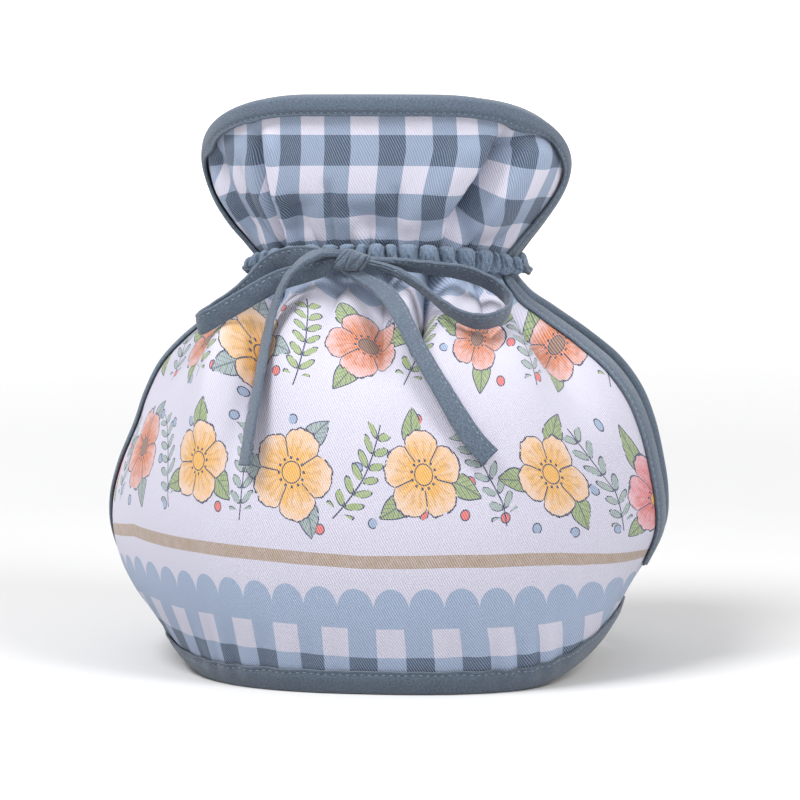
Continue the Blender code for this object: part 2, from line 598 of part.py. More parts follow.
def add_crossing(name, side, finish, collection):
    """The tie where it crosses a slit, drawn up narrow between the ends of the two casings."""
    extra = HANDLE_CASING_END if side > 0 else SPOUT_CASING_END
    edge_out = HANDLE_EDGE_OUT if side > 0 else SPOUT_EDGE_OUT
    up = np.array([NECK_UP])
    across = side * (half_flat(up, side) + extra + 2 * GAP)
    starts = [cloth(face, across, up, CASING_OUT + edge_out)[0] for face in (FRONT, BACK)]
    line = bpy.data.curves.new(name, "CURVE")
    line.dimensions = "3D"
    line.bevel_depth = CORD_RADIUS
    line.bevel_resolution = 2
    line.use_fill_caps = True
    spline = line.splines.new("POLY")
    spline.points.add(CROSSING_STEPS)
    for number, point in enumerate(spline.points):
        share = number / CROSSING_STEPS
        place = starts[0] * (1 - share) + starts[1] * share
        bow = math.sin(share * math.pi)
        point.co = (place[0] + side * CROSSING_BOW * bow, place[1], place[2] - CROSSING_SAG * bow, 1.0)
    line.materials.append(finish)
    crossing = bpy.data.objects.new(name, line)
    collection.objects.link(crossing)
    return crossing


def main():
    """Build the whole cosy."""
    for thing in list(bpy.data.objects):
        bpy.data.objects.remove(thing, do_unlink=True)
    collection = bpy.data.collections.new("tea_cosy")
    bpy.context.scene.collection.children.link(collection)
    printed = material("printed_cotton", PRINTED_COLOUR, 0.85)
    slate = material("slate_cotton", SLATE_COLOUR, 0.80)
    add_panel("front_panel", FRONT, printed, collection)
    add_panel("back_panel", BACK, printed, collection)
    add_binding("front_binding", FRONT, slate, collection)
    add_binding("back_binding", BACK, slate, collection)
    add_hem(slate, collection)
    add_casing("casing_front", FRONT, slate, collection)
    add_casing("casing_back", BACK, slate, collection)
    add_knot(slate, collection)
    add_tape("bow_loop_left", LOOP_LEFT, slate, collection)
    add_tape("bow_loop_right", LOOP_RIGHT, slate, collection)
    add_tape("tie_tail_left", TAIL_LEFT, slate, collection)
    add_tape("tie_tail_right", TAIL_RIGHT, slate, collection)
    add_crossing("drawstring_spout", -1.0, slate, collection)
    add_crossing("drawstring_handle", 1.0, slate, collection)


if __name__ == "__main__":
    main()
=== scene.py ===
"""Dresses the drawstring tea cosy: printed panels, bound edges, ruched casings and the tape bow."""
import math
from collections import namedtuple

import bmesh
import bpy
import numpy as np
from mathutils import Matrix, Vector


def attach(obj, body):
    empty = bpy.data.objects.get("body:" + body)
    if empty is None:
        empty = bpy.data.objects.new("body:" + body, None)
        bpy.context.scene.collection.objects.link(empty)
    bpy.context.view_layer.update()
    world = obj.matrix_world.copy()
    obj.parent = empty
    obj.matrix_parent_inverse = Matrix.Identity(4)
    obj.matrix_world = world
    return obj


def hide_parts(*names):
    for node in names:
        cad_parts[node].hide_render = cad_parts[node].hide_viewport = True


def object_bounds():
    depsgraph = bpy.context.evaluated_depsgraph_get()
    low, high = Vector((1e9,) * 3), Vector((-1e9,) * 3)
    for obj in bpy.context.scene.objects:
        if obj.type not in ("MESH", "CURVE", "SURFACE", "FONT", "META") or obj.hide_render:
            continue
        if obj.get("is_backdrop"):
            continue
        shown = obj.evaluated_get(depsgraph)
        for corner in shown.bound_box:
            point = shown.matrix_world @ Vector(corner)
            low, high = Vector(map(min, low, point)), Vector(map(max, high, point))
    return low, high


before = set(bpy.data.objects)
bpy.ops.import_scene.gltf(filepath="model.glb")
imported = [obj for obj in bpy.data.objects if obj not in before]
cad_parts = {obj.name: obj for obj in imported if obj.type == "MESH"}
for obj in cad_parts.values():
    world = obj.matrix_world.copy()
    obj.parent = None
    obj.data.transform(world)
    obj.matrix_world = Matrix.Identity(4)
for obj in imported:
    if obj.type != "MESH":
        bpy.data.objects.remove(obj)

bl_info = {
    "name": "Drawstring tea cosy",
    "version": (1, 0, 0),
    "blender": (4, 5, 0),
    "location": "3D View > Sidebar > Tea cosy",
    "description": "Makes the pieces of a drawstring tea cosy round its packed solids",
    "category": "Object",
}


def in_mm(kind, plain, *rows):
    """Rows of a table given in millimetres, apart from its plain columns, as rows in metres."""
    units = [1 if field in plain else 1000 for field in kind._fields]
    return tuple(kind(*(value / unit for value, unit in zip(row, units))) for row in rows)


# ---- sizes: up is the height along the cloth from the hem, across is from a panel's middle
FRONT, BACK = -1.0, 1.0
SPOUT, HANDLE = -1.0, 1.0
CLOTH = 0.0022
GAP = 0.0003
TOP_UP = 0.2095
NECK_UP = 0.1510
CASING_WIDTH = 0.0092
CORNER_RISE = 0.0300
HEM_LIFT = 0.0017
LIFT_END = 1.05
LIFT_FADE = 0.075

# Level sections of the cosy without its folds.
Ring = namedtuple("Ring", "up height spout_half handle_half half_depth flat crown")
RINGS = in_mm(
    Ring, ("flat",),
    (0, 0, 69.6, 72.6, 69, 1.26, 0), (12, 11.6, 78.3, 78.2, 72.2, 1.26, 0),
    (25, 24, 86.7, 84, 75.2, 1.25, 0), (40, 38.6, 90.9, 88.5, 77.4, 1.22, 0.4),
    (52, 50.5, 90.5, 88.7, 77.8, 1.2, 0.8), (65, 63.4, 87, 87.1, 76.8, 1.18, 1.2),
    (80, 78, 80.7, 83.7, 74, 1.16, 1.8), (90, 87.3, 77.5, 79.8, 70.6, 1.14, 2.2),
    (101, 96.8, 72.8, 72.8, 65, 1.12, 2.7), (111.5, 104.2, 66.2, 64, 57.4, 1.1, 3.2),
    (125, 112.4, 56, 52.3, 46.8, 1.08, 3.7), (137, 118.8, 47.4, 43.2, 38, 1.06, 4.1),
    (151, 129.2, 40.5, 37.4, 31.8, 1.05, 4.5), (160, 137, 45.5, 42.2, 33.5, 1.05, 3.8),
    (168, 143.4, 50.6, 47, 36, 1.05, 3), (178, 152, 55.7, 53.1, 39.2, 1.05, 2.2),
    (189, 162.2, 58.9, 57.6, 41.8, 1.05, 1.5), (209.5, 182.5, 59, 57.8, 45, 1.05, 1.2))

# Gap from a panel's side edge to the middle, and how far its section turns there, in degrees.
Edge = namedtuple("Edge", "up gap turn")
SPOUT_EDGE = in_mm(
    Edge, ("turn",),
    (0, 0.5, 88), (10, 0.6, 88), (20, 1, 88), (30, 3.2, 88), (45, 10, 86), (62, 16, 84), (80, 20, 82),
    (100, 18.5, 82), (125, 12, 84), (151, 7.5, 86), (170, 8, 88), (209.5, 10, 90))
HANDLE_EDGE = in_mm(
    Edge, ("turn",),
    (0, 0.5, 88), (8, 0.6, 86), (15, 1.2, 83), (23, 3.4, 76), (38, 8.5, 66), (55, 12.5, 60), (80, 14, 58),
    (100, 13.5, 58), (125, 11, 62), (151, 7.2, 76), (170, 6.2, 80), (209.5, 7, 80))

# What differs between the two sides. A corner has a width and the power of its curve; the lift is
# how far the side seam is drawn up, from which share of the half width on. A casing runs on past
# the neck's side edge, and stands out further there.
Side = namedtuple("Side", "edge half slit_up corner lift lift_start casing_end edge_out")
SIDES = {
    SPOUT: Side(SPOUT_EDGE, "spout_half", 0.0300, (0.0560, 1.80), 0.0055, 0.44, 0.0035, 0.0030),
    HANDLE: Side(HANDLE_EDGE, "handle_half", 0.0230, (0.0570, 1.94), 0.0140, 0.43, 0.0015, 0.0018),
}

Fold = namedtuple("Fold", "top_across top_up low_across low_up rise half_width")
FOLDS = {
    FRONT: in_mm(
        Fold, (),
        (-29, 145, -40, 70, -4.6, 6), (-40, 144, -54, 70, 4, 7.5), (-18, 143, -27, 85, 2.8, 7),
        (-50, 134, -85, 85, -2.6, 9), (-2, 145, 4, 95, -4, 5.5), (7, 144, 13, 100, 2.2, 5.5),
        (15, 145, 18, 112, -3.2, 5), (43, 140, 85, 80, -3, 9.5), (34, 143, 60, 85, 2.4, 8),
        (-58, 195, -42, 155, -3.6, 6), (-68, 195, -50, 160, 2.4, 7), (43, 198, 16, 156, -5.6, 6.8),
        (54, 196, 29, 158, 3, 8), (30, 196, 6, 158, 1.6, 7), (-3, 172, -1, 156, -2.6, 5),
        (-24, 174, -25, 156, -2.6, 5)),
    BACK: in_mm(
        Fold, (),
        (42, 145, 56, 80, 3.6, 9), (30, 145, 38, 85, -3.4, 7), (-30, 145, -52, 80, -3.6, 8.5),
        (6, 145, 12, 90, -3.6, 7), (-48, 140, -78, 85, 2.8, 10), (-34, 195, -18, 156, -4.8, 7.5),
        (38, 195, 26, 156, -4, 7.5), (4, 195, 0, 156, 3, 9)),
}
# Narrow creases where the gathered cloth doubles on itself, and the soft swellings beside them.
CREASES = {
    FRONT: in_mm(
        Fold, (),
        (16, 149, 17.2, 111, -5, 2.5), (21.8, 149, 23.6, 110, 2.6, 3.6), (10.8, 149, 10, 117, 1.8, 3.2),
        (-33, 149, -39.5, 76, -3.6, 2.2), (-26.2, 149, -32.5, 95, 2.2, 3.8), (-40, 147, -48, 90, 1.8, 4.2),
        (-47.5, 147, -60, 100, -2.6, 2.6), (1.5, 149, 6.2, 100, -3.6, 3.6), (16.5, 142, 19, 106, -2.4, 6.2),
        (44, 142, 84, 85, -2, 5.5), (30, 149, 43, 108, -2.6, 2.3), (36.5, 149, 52, 105, 1.5, 3.4),
        (42, 147, 68, 100, -2.2, 2.8), (-10, 149, -14, 115, -2, 2.1), (39.5, 200, 17.2, 153, -5.4, 2.6),
        (47, 198, 24, 154, 2.6, 3.6), (32.5, 194, 12, 154, 1.4, 3), (-34.5, 203, -30, 153, -3.4, 1.9),
        (-30, 198, -26.2, 153, 1.6, 2.8), (-42, 188, -36.5, 156, -1.3, 2), (5.5, 178, 5, 156, -1.2, 1.7),
        (-13, 180, -12.5, 156, -1.1, 1.8), (27.5, 180, 25.5, 156, -1.2, 1.8)),
    BACK: in_mm(
        Fold, (),
        (-18, 147, -20, 112, -2.6, 1.9), (21.5, 147, 25, 106, -2.2, 1.9), (33, 144, 48, 102, -1.8, 2.2),
        (-35, 144, -50, 100, -1.8, 2.2), (2, 146, 4, 112, -1.4, 1.8), (-24, 193, -19, 156, -2.2, 1.9),
        (29, 193, 23, 156, -2, 1.9), (4, 182, 3, 156, -1.3, 1.8), (-42, 188, -36, 156, -1.3, 2)),
}
FOLD_START = 0.20
FOLD_IN = 0.30
FOLD_END = 1.15
FOLD_OUT = 0.55
RIM_FLAT = 0.0055
RIM_FADE = 0.0100
NECK_FADE = 0.0090

# Small gathers that fan out from the neck, drawn from a fixed seed.
GATHERS = 19
GATHER_STRAY = 0.3
GATHER_SEED = {FRONT: 5, BACK: 11}
GATHER_DEPTH = (0.0008, 0.0020)
GATHER_WIDTH = (0.0013, 0.0022)
GATHER_DOWN = (0.016, 0.046)
GATHER_UP = (0.014, 0.034)
GATHER_SPREAD = 14        # how much wider a gather gets in each metre from the neck

# The back's frill is drawn in and down a little.
TUCK_UP = 0.1600
TUCK_RISE = 0.0360
TUCK_SHARE = 0.055
TUCK_DROP = 0.0018
# Puckers over the hem's stitches.
PUCKER = 0.00042
PUCKER_PITCH = 610.0
PUCKER_WANDER = (1.7, 113)
PUCKER_SWELL = (0.4, 71)
PUCKER_RISE = 0.007
PUCKER_START = 0.009
PUCKER_REACH = 0.012
# A panel's width is measured in steps, and a little past its ends.
LENGTH_STEPS = 24
HALF_STEPS = 1500
PAST_END = 0.012
NORMAL_STEP = 0.0004      # each way, to find which way a surface faces

# Where the print falls on the cloth, in millimetres: at four heights, the printed place of each
# place across; and how far the hem's print is lifted at places across.
PRINT_ACROSS = (
    (60, (
        (-130, -170.5), (-84.5, -110.5), (-67.5, -86.5), (-51, -62.5), (-33, -38.5), (-13, -14.5),
        (-2.5, -2.5), (33.5, 33.5), (70.5, 69.5), (120, 113))),
    (155, (
        (-58, -86), (-36, -48.3), (-25, -30.4), (-12, -12.5), (2.5, 5.4), (14.5, 23.3), (28, 41.2),
        (38.5, 59.1), (55, 83))),
    (176, (
        (-72, -93), (-39.5, -48.3), (-24.8, -30.4), (-11.5, -12.5), (2.8, 5.4), (15.6, 23.3),
        (29.5, 41.2), (40, 59.1), (64, 88))),
    (193.5, (
        (-75, -112), (-46.5, -66.2), (-35.5, -48.3), (-23.3, -30.4), (-10.2, -12.5), (4.5, 5.4),
        (20, 23.3), (33, 41.2), (46.5, 59.1), (72, 90))),
)
HEM_PRINT_LIFT = (
    (-128, 4.5), (-108, -1), (-85, -4.2), (-50, -2.6), (-33, -1.8), (0, 0), (33, -0.4), (58, 0),
    (70.5, 1.5), (84, 4.5), (98, 8.5), (120, 14.5))
FRILL_PRINT_START = 0.1475
FRILL_PRINT_SHARE = 0.877
HEM_PRINT_TOP = 0.110
HEM_PRINT_FADE = 0.050


# ---- cloth shape


def curve_through(knots, values, at):
    """Values between knots, on a smooth curve."""
    slopes = np.gradient(values, knots)
    low = np.clip(np.searchsorted(knots, at) - 1, 0, len(knots) - 2)
    span = knots[low + 1] - knots[low]
    t = (at - knots[low]) / span
    start = (1 + 2 * t) * (1 - t) ** 2 * values[low] + t * (1 - t) ** 2 * span * slopes[low]
    end = t * t * (3 - 2 * t) * values[low + 1] - t * t * (1 - t) * span * slopes[low + 1]
    return start + end


def smooth(rows, column, at):
    """Read one column of a table at the given cloth heights."""
    knots = np.array([row.up for row in rows])
    values = np.array([getattr(row, column) for row in rows])
    return curve_through(knots, values, at)


def ease(t):
    """Run smoothly from 0 to 1."""
    t = np.clip(t, 0.0, 1.0)
    return t * t * (3 - 2 * t)


def unit(vectors):
    """The same directions, one long."""
    return vectors / np.linalg.norm(vectors, axis=-1, keepdims=True)


def closed(points):
    """A loop of points that ends with its first one."""
    return np.concatenate((points, points[:1]))


def read(at, run, rows):
    """Rows of a table at distances along it."""
    return np.stack([np.interp(at, run, column) for column in rows.T], axis=-1)


def by_side(across, value):
    """The handle side's value for places on that side of the middle, and the spout side's elsewhere."""
    return np.where(across > 0, value(HANDLE), value(SPOUT))


def section(up, side, share):
    """Place on a panel's level section: share runs from 0 in the middle to 1 at the side edge."""
    turn = np.radians(smooth(SIDES[side].edge, "turn", up))
    gap = smooth(SIDES[side].edge, "gap", up)
    depth = smooth(RINGS, "half_depth", up)
    outward = smooth(RINGS, SIDES[side].half, up) * np.sin(share * turn) / np.sin(turn)
    fallen = (1 - np.cos(share * turn)) / (1 - np.cos(turn))
    return outward, depth - (depth - gap) * fallen ** smooth(RINGS, "flat", up)


def measured_half(up, side):
    """Length along the cloth from the middle of a panel to its side edge, measured in steps."""
    length = np.zeros_like(up)
    before = section(up, side, 0.0)
    for step in range(1, LENGTH_STEPS + 1):
        here = section(up, side, step / LENGTH_STEPS)
        length += np.hypot(here[0] - before[0], here[1] - before[1])
        before = here
    return length


HALF_AT = np.linspace(-PAST_END, TOP_UP + PAST_END, HALF_STEPS)
HALF_FLAT = {side: measured_half(HALF_AT, side) for side in SIDES}


def half_flat(up, side):
    """The same length, read from the measured ones."""
    return np.interp(up, HALF_AT, HALF_FLAT[side])


def half_cut(up, side):
    """Half width of the cut panel, with the frill's rounded top corner."""
    width, power = SIDES[side].corner
    into = np.clip((up - (TOP_UP - CORNER_RISE)) / CORNER_RISE, 0.0, 1.0)
    return half_flat(up, side) - width * (1 - (1 - into ** power) ** (1 / power))


def gathers(face):
    """Places, depths, widths and lengths of the small gathers at one panel's neck."""
    draw = np.random.RandomState(GATHER_SEED[face])
    ends = (-HALF_FLAT[SPOUT].min(), HALF_FLAT[HANDLE].min())
    share = (np.arange(GATHERS) + 0.5 + draw.uniform(-GATHER_STRAY, GATHER_STRAY, GATHERS)) / GATHERS
    places = ends[0] + (ends[1] - ends[0]) * share
    spread = [draw.uniform(low, high, GATHERS)
              for low, high in (GATHER_DEPTH, GATHER_WIDTH, GATHER_DOWN, GATHER_UP)]
    return np.stack((places, *spread), axis=-1)


GATHERED = {face: gathers(face) for face in (FRONT, BACK)}


def gather_rise(face, across, up):
    """How far the small gathers draw the cloth in."""
    half = by_side(across, lambda side: half_flat(up, side))
    neck = by_side(across, lambda side: half_flat(NECK_UP, side))
    away = np.abs(up - NECK_UP)
    rise = np.zeros_like(across)
    for place, depth, width, down, rising in GATHERED[face]:
        fade = ease(1 - away / np.where(up < NECK_UP, down, rising))
        wide = width * (1 + GATHER_SPREAD * away)
        rise -= depth * fade * np.exp(-((across * neck / half - place) * half / neck / wide) ** 2)
    return rise


def rise_of(folds, across, up):
    """How far a table of folds lifts the cloth."""
    rise = np.zeros_like(across)
    for fold in folds:
        along = (fold.top_up - up) / (fold.top_up - fold.low_up)
        centre = fold.top_across + (fold.low_across - fold.top_across) * along
        fade = ease((FOLD_END - along) / FOLD_OUT) * ease((along + FOLD_START) / FOLD_IN)
        rise += fold.rise * fade * np.exp(-((across - centre) / fold.half_width) ** 2)
    return rise


def pucker(face, across, up):
    """Small puckers where the hem's stitches draw the cloth up, fading upwards."""
    wander, swell = PUCKER_WANDER, PUCKER_SWELL
    wave = np.sin(across * PUCKER_PITCH + wander[0] * np.sin(across * wander[1]) + face)
    wave = wave * (1 - swell[0] + swell[0] * np.sin(across * swell[1] + 2 * face))
    fade = np.exp(-(np.maximum(up - PUCKER_START, 0) / PUCKER_REACH) ** 1.5)
    return PUCKER * wave * ease(up / PUCKER_RISE) * fade


def fold_rise(face, across, up):
    """How far the folds and gathers lift the cloth off its smooth shape."""
    rise = rise_of(FOLDS[face], across, up)
    half = by_side(across, lambda side: half_cut(up, side))
    from_rim = np.minimum(TOP_UP - up, half - np.abs(across))
    from_neck = np.abs(up - NECK_UP) - CASING_WIDTH / 2
    rim = ease((from_rim - RIM_FLAT) / RIM_FADE)
    fine = gather_rise(face, across, up) + rise_of(CREASES[face], across, up) + pucker(face, across, up)
    return rise * rim * ease(from_neck / NECK_FADE) + fine * rim


def hem_lift(up, side, share):
    """How far the cloth is drawn up near a side seam."""
    start = SIDES[side].lift_start
    near = ease((share - start) / (LIFT_END - start)) * ease(1 - up / LIFT_FADE)
    return HEM_LIFT + SIDES[side].lift * near


def smooth_shape(face, across, up):
    """Places on the panel's middle surface before its folds."""
    points = np.zeros(across.shape + (3,))
    for side in SIDES:
        chosen = across * side >= 0
        if not chosen.any():
            continue
        u = up[chosen]
        share = np.abs(across[chosen]) / half_flat(u, side)
        outward, forward = section(u, side, share)
        crown = smooth(RINGS, "crown", u) * np.cos(np.clip(share, 0, 1) * math.pi / 2)
        tuck = ease((u - TUCK_UP) / TUCK_RISE) if face == BACK else 0.0
        height = smooth(RINGS, "height", u) + crown + hem_lift(u, side, share) - TUCK_DROP * tuck
        outward = side * outward * (1 - TUCK_SHARE * tuck)
        points[chosen] = np.stack((outward, face * forward, height), axis=-1)
    return points


def facing(face, place, across, up):
    """Outward directions of a surface that the function place gives."""
    right = place(face, across + NORMAL_STEP, up) - place(face, across - NORMAL_STEP, up)
    rising = place(face, across, up + NORMAL_STEP) - place(face, across, up - NORMAL_STEP)
    return unit(np.cross(right, rising) * -face)


def folded_shape(face, across, up):
    """Places on the panel's middle surface, with its folds."""
    lift = fold_rise(face, across, up)[..., None]
    return smooth_shape(face, across, up) + lift * facing(face, smooth_shape, across, up)


def cloth(face, across, up, out, shape=folded_shape):
    """Places at a distance out from the panel's middle surface."""
    across, up, out = np.broadcast_arrays(*(np.asarray(value, float) for value in (across, up, out)))
    return shape(face, across, up) + out[..., None] * facing(face, shape, across, up)


# ---- panels
PANEL_COLUMNS = 220
STRAIGHT_ROWS = 132
CORNER_ROWS = 26
TOP_BEND = 0.040
LINING_SHARE = 0.18       # share of the bake's square that the lining has
BAKE_GAP = 0.02


def side_line(side):
    """Cloth coordinates of one side edge, from the hem to the top corner's middle and on to its end."""
    straight = np.linspace(0.0, TOP_UP - CORNER_RISE, STRAIGHT_ROWS, endpoint=False)
    turns = np.linspace(0.0, math.pi / 2, 2 * CORNER_ROWS + 1)
    up = np.concatenate((straight, TOP_UP - CORNER_RISE * (1 - np.sin(turns))))
    return np.stack((side * half_cut(up, side), up), axis=-1)


def panel_outline():
    """Cloth coordinates of a panel's left, right and top edges, which meet in its corners' middles."""
    left, right = side_line(SPOUT), side_line(HANDLE)
    rows = STRAIGHT_ROWS + CORNER_ROWS
    inner = PANEL_COLUMNS - 2 * CORNER_ROWS
    across = np.linspace(left[-1, 0], right[-1, 0], inner + 1)[1:-1]
    middle = np.stack((across, np.full(inner - 1, TOP_UP)), axis=-1)
    top = np.concatenate((left[rows:], middle, right[rows:][::-1]))
    return left[:rows + 1], right[:rows + 1], top


def panel_places():
    """Cloth coordinates of a panel's grid of points."""
    left, right, top = panel_outline()
    bend = ease((left[:, 1] - TOP_UP + TOP_BEND) / (left[-1, 1] - TOP_UP + TOP_BEND))
    share = np.linspace(0, 1, PANEL_COLUMNS + 1)[None, :, None]
    level = left[:, None] * (1 - share) + right[:, None] * share
    bulge = top[None] - top[0] * (1 - share) - top[-1] * share
    at = level + bend[:, None, None] * bulge
    return at[..., 0], at[..., 1]


def printed_places(across, up):
    """Where each place on the cloth lies in the flat print, in metres."""
    heights = np.array([height for height, _ in PRINT_ACROSS]) / 1000
    values = []
    for _, pairs in PRINT_ACROSS:
        places, printed = np.array(pairs).T / 1000
        slopes = np.gradient(printed, places)
        beyond = (slopes[-1] * np.maximum(across - places[-1], 0)
                  + slopes[0] * np.minimum(across - places[0], 0))
        values.append(np.interp(across, places, printed) + beyond)
    values = np.array(values)
    low = np.clip(np.searchsorted(heights, up) - 1, 0, len(heights) - 2)
    share = np.clip((up - heights[low]) / (heights[low + 1] - heights[low]), 0, 1)
    below, above = (np.take_along_axis(values, number[None], 0)[0] for number in (low, low + 1))
    places, lifts = np.array(HEM_PRINT_LIFT).T / 1000
    lifted = up + np.interp(across, places, lifts) * ease((HEM_PRINT_TOP - up) / HEM_PRINT_FADE)
    frill = FRILL_PRINT_START + (up - FRILL_PRINT_START) * FRILL_PRINT_SHARE
    return below + (above - below) * share, np.where(up > FRILL_PRINT_START, frill, lifted)


# ---- meshes
MERGE = 1e-7


def grid_faces(rows, columns):
    """Corner numbers of the quads of a grid of points."""
    corner = np.arange(rows * columns).reshape(rows, columns)[:-1, :-1].reshape(-1)
    return np.stack((corner, corner + 1, corner + columns + 1, corner + columns), axis=-1)


def ring_faces(rings, sides):
    """Corner numbers of the quads between rings of points."""
    low = np.arange((rings - 1) * sides).reshape(-1, sides)
    after = np.roll(low, -1, axis=1)
    return np.stack((low, low + sides, after + sides, after), axis=-1).reshape(-1, 4)


def new_object(name, points, faces, finishes):
    """Object of a mesh from arrays, in the scene."""
    mesh = bpy.data.meshes.new(name)
    mesh.from_pydata(np.asarray(points).reshape(-1, 3), [], [list(face) for face in faces])
    for finish in finishes:
        mesh.materials.append(finish)
    thing = bpy.data.objects.new(name, mesh)
    bpy.context.scene.collection.objects.link(thing)
    return thing


def new_piece(name, points, faces, finishes, flat=None, bake=None, finish_of=None, weld=False):
    """Smooth object of a mesh from arrays, riding on the cosy."""
    piece = new_object(name, points, faces, finishes)
    mesh = piece.data
    corners = np.empty(len(mesh.loops), dtype=np.int32)
    mesh.loops.foreach_get("vertex_index", corners)
    for layer, places in (("Flat", flat), ("OFBake", bake)):
        if places is not None:
            values = np.asarray(places).reshape(-1, 2)[corners]
            mesh.uv_layers.new(name=layer).data.foreach_set("uv", values.ravel())
    if finish_of is not None:
        mesh.polygons.foreach_set("material_index", np.asarray(finish_of, dtype=np.int32))
    if weld:
        work = bmesh.new()
        work.from_mesh(mesh)
        bmesh.ops.remove_doubles(work, verts=work.verts, dist=MERGE)
        work.to_mesh(mesh)
        work.free()
    mesh.shade_smooth()
    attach(piece, "root")
    return piece


def take_place(piece, node):
    """Let a piece stand for one of the solids."""
    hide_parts(node)


def lengths_along(points, axis):
    """Distance from the first point to each along one way of a grid."""
    steps = np.linalg.norm(np.diff(points, axis=axis), axis=-1)
    start = np.zeros_like(np.take(steps, [0], axis=axis))
    return np.concatenate((start, np.cumsum(steps, axis=axis)), axis=axis)


def new_strip(name, grid, finish, joined=False):
    """Object of a strip of cloth: a grid of points along it by round its section, closed at its ends."""
    rows, columns = grid.shape[:2]
    faces = grid_faces(rows, columns).tolist()
    if not joined:
        faces.append(list(range(columns - 1))[::-1])
        faces.append(list(range((rows - 1) * columns, rows * columns - 1)))
    run = lengths_along(grid, 0).mean(axis=1, keepdims=True)
    round_it = lengths_along(grid, 1).mean(axis=0, keepdims=True)
    flat = np.stack(np.broadcast_arrays(run, round_it), axis=-1)
    return new_piece(name, grid, faces, [finish], flat=flat, weld=True)


def closed_section(line, thickness):
    """Outline of a strip's section, given the section's middle line."""
    along = unit(np.gradient(line, axis=0))
    away = np.stack((along[:, 1], -along[:, 0]), axis=-1) * thickness / 2
    return closed(np.concatenate((line + away, (line - away)[::-1])))


# ---- stitches
STITCH_DIMPLE = 0.00022
STITCH_PITCH = 0.0023
STITCH_START = 0.2        # share of the pitch before the first stitch
STITCH_LENGTH = 0.0015
STITCH_RADIUS = 0.00020
STITCH_TIP = 0.04         # how blunt its ends are
STITCH_SINK = 0.00022
STITCH_RINGS = 5
STITCH_SIDES = 6


def stitch_row(name, path, out, finish):
    """A row of sewn stitches on a path: short threads whose ends sink into the cloth."""
    run = lengths_along(path, 0)
    count = int(run[-1] / STITCH_PITCH)
    starts = (np.arange(count) + STITCH_START) * run[-1] / count
    share = np.linspace(-1, 1, STITCH_RINGS)
    at = starts[:, None] + (share + 1) / 2 * STITCH_LENGTH
    centre, away = read(at, run, path), unit(read(at, run, out))
    beside = np.cross(unit(np.gradient(centre, axis=1)), away)
    radius = (STITCH_RADIUS * np.sqrt(1 + STITCH_TIP - share ** 4))[None, :, None, None]
    sink = (STITCH_SINK * share ** 4)[None, :, None]
    turns = np.linspace(0, 2 * math.pi, STITCH_SIDES, endpoint=False)[:, None]
    ring = np.cos(turns) * beside[:, :, None] + np.sin(turns) * away[:, :, None]
    points = (centre - sink * away)[:, :, None] + radius * ring
    size = STITCH_RINGS * STITCH_SIDES
    ends = np.arange(STITCH_SIDES)
    stitch = [*ring_faces(STITCH_RINGS, STITCH_SIDES), ends, size - 1 - ends]
    faces = [face + first for first in range(0, count * size, size) for face in stitch]
    new_piece(name, points, faces, [finish])


# ---- bindings
BINDING_WIDTH = 0.0062
HEM_WIDTH = 0.0080
STRIP = 0.0007
STRIP_EASE = 0.00015
STRIP_OUT = CLOTH / 2 + GAP + STRIP_EASE + STRIP / 2
NOSE_ROUND = 0.0007
STRIP_NOSE = GAP + STRIP / 2 + NOSE_ROUND
STRIP_SIDE_STEPS = 13
STRIP_BEND_STEPS = 11
BINDING_PUFF = 0.00035
BINDING_STITCH = 0.0011   # from the strip's inner edge to its stitches
DIMPLE_WIDTH = 0.0006
CORNER_LOOSE = 0.0006
LEVEL_PAST = 0.004        # how far into a corner the strip's section starts to turn from level
LEVEL_FADE = 0.008
EDGE_START = 0.0005
EDGE_STEPS = 460
HEM_STEPS = 220
SEAM_SHARE = 0.975


def binding_line(width):
    """Middle line of the folded strip's section: distances in from the edge and out from the cloth."""
    reach = width - STRIP_NOSE
    stitched = reach - BINDING_STITCH
    into = np.linspace(reach, 0.0, STRIP_SIDE_STEPS)
    puff = BINDING_PUFF * np.sin(np.pi * np.clip((stitched - into) / stitched, 0, 1) ** 0.8)
    dimple = STITCH_DIMPLE * np.exp(-((into - stitched) / DIMPLE_WIDTH) ** 2)
    side = np.stack((into, STRIP_OUT + puff - dimple), axis=-1)
    turns = np.linspace(0, math.pi, STRIP_BEND_STEPS)[1:-1]
    bend = np.stack((-STRIP_NOSE * np.sin(turns), STRIP_OUT * np.cos(turns)), axis=-1)
    return np.concatenate((side, bend, (side * (1, -1))[::-1]))


def bound_edge():
    """Cloth coordinates of the bound edge: up the handle side, over the top, down the spout side."""
    left, right, top = panel_outline()
    rising, falling = (line[line[:, 1] > SIDES[side].slit_up + EDGE_START]
                       for side, line in ((HANDLE, right), (SPOUT, left)))
    start, end = ([[side * half_flat(SIDES[side].slit_up, side), SIDES[side].slit_up]]
                  for side in (HANDLE, SPOUT))
    line = np.concatenate((start, rising, top[1:-1][::-1], falling[::-1], end))
    run = lengths_along(line, 0)
    return read(np.linspace(0, run[-1], EDGE_STEPS), run, line).T


def inward(across, up):
    """Steps into the cloth from its edge: along the rows at the sides, square to the edge elsewhere."""
    along = unit(np.stack((np.gradient(across), np.gradient(up)), axis=-1))
    into_across, into_up = -along[:, 1], along[:, 0]
    level = ease((TOP_UP - CORNER_RISE + LEVEL_PAST - up) / LEVEL_FADE)
    along_row = 1 / np.where(level > 0, into_across, 1.0)
    return into_across + (along_row - into_across) * level, into_up * (1 - level)


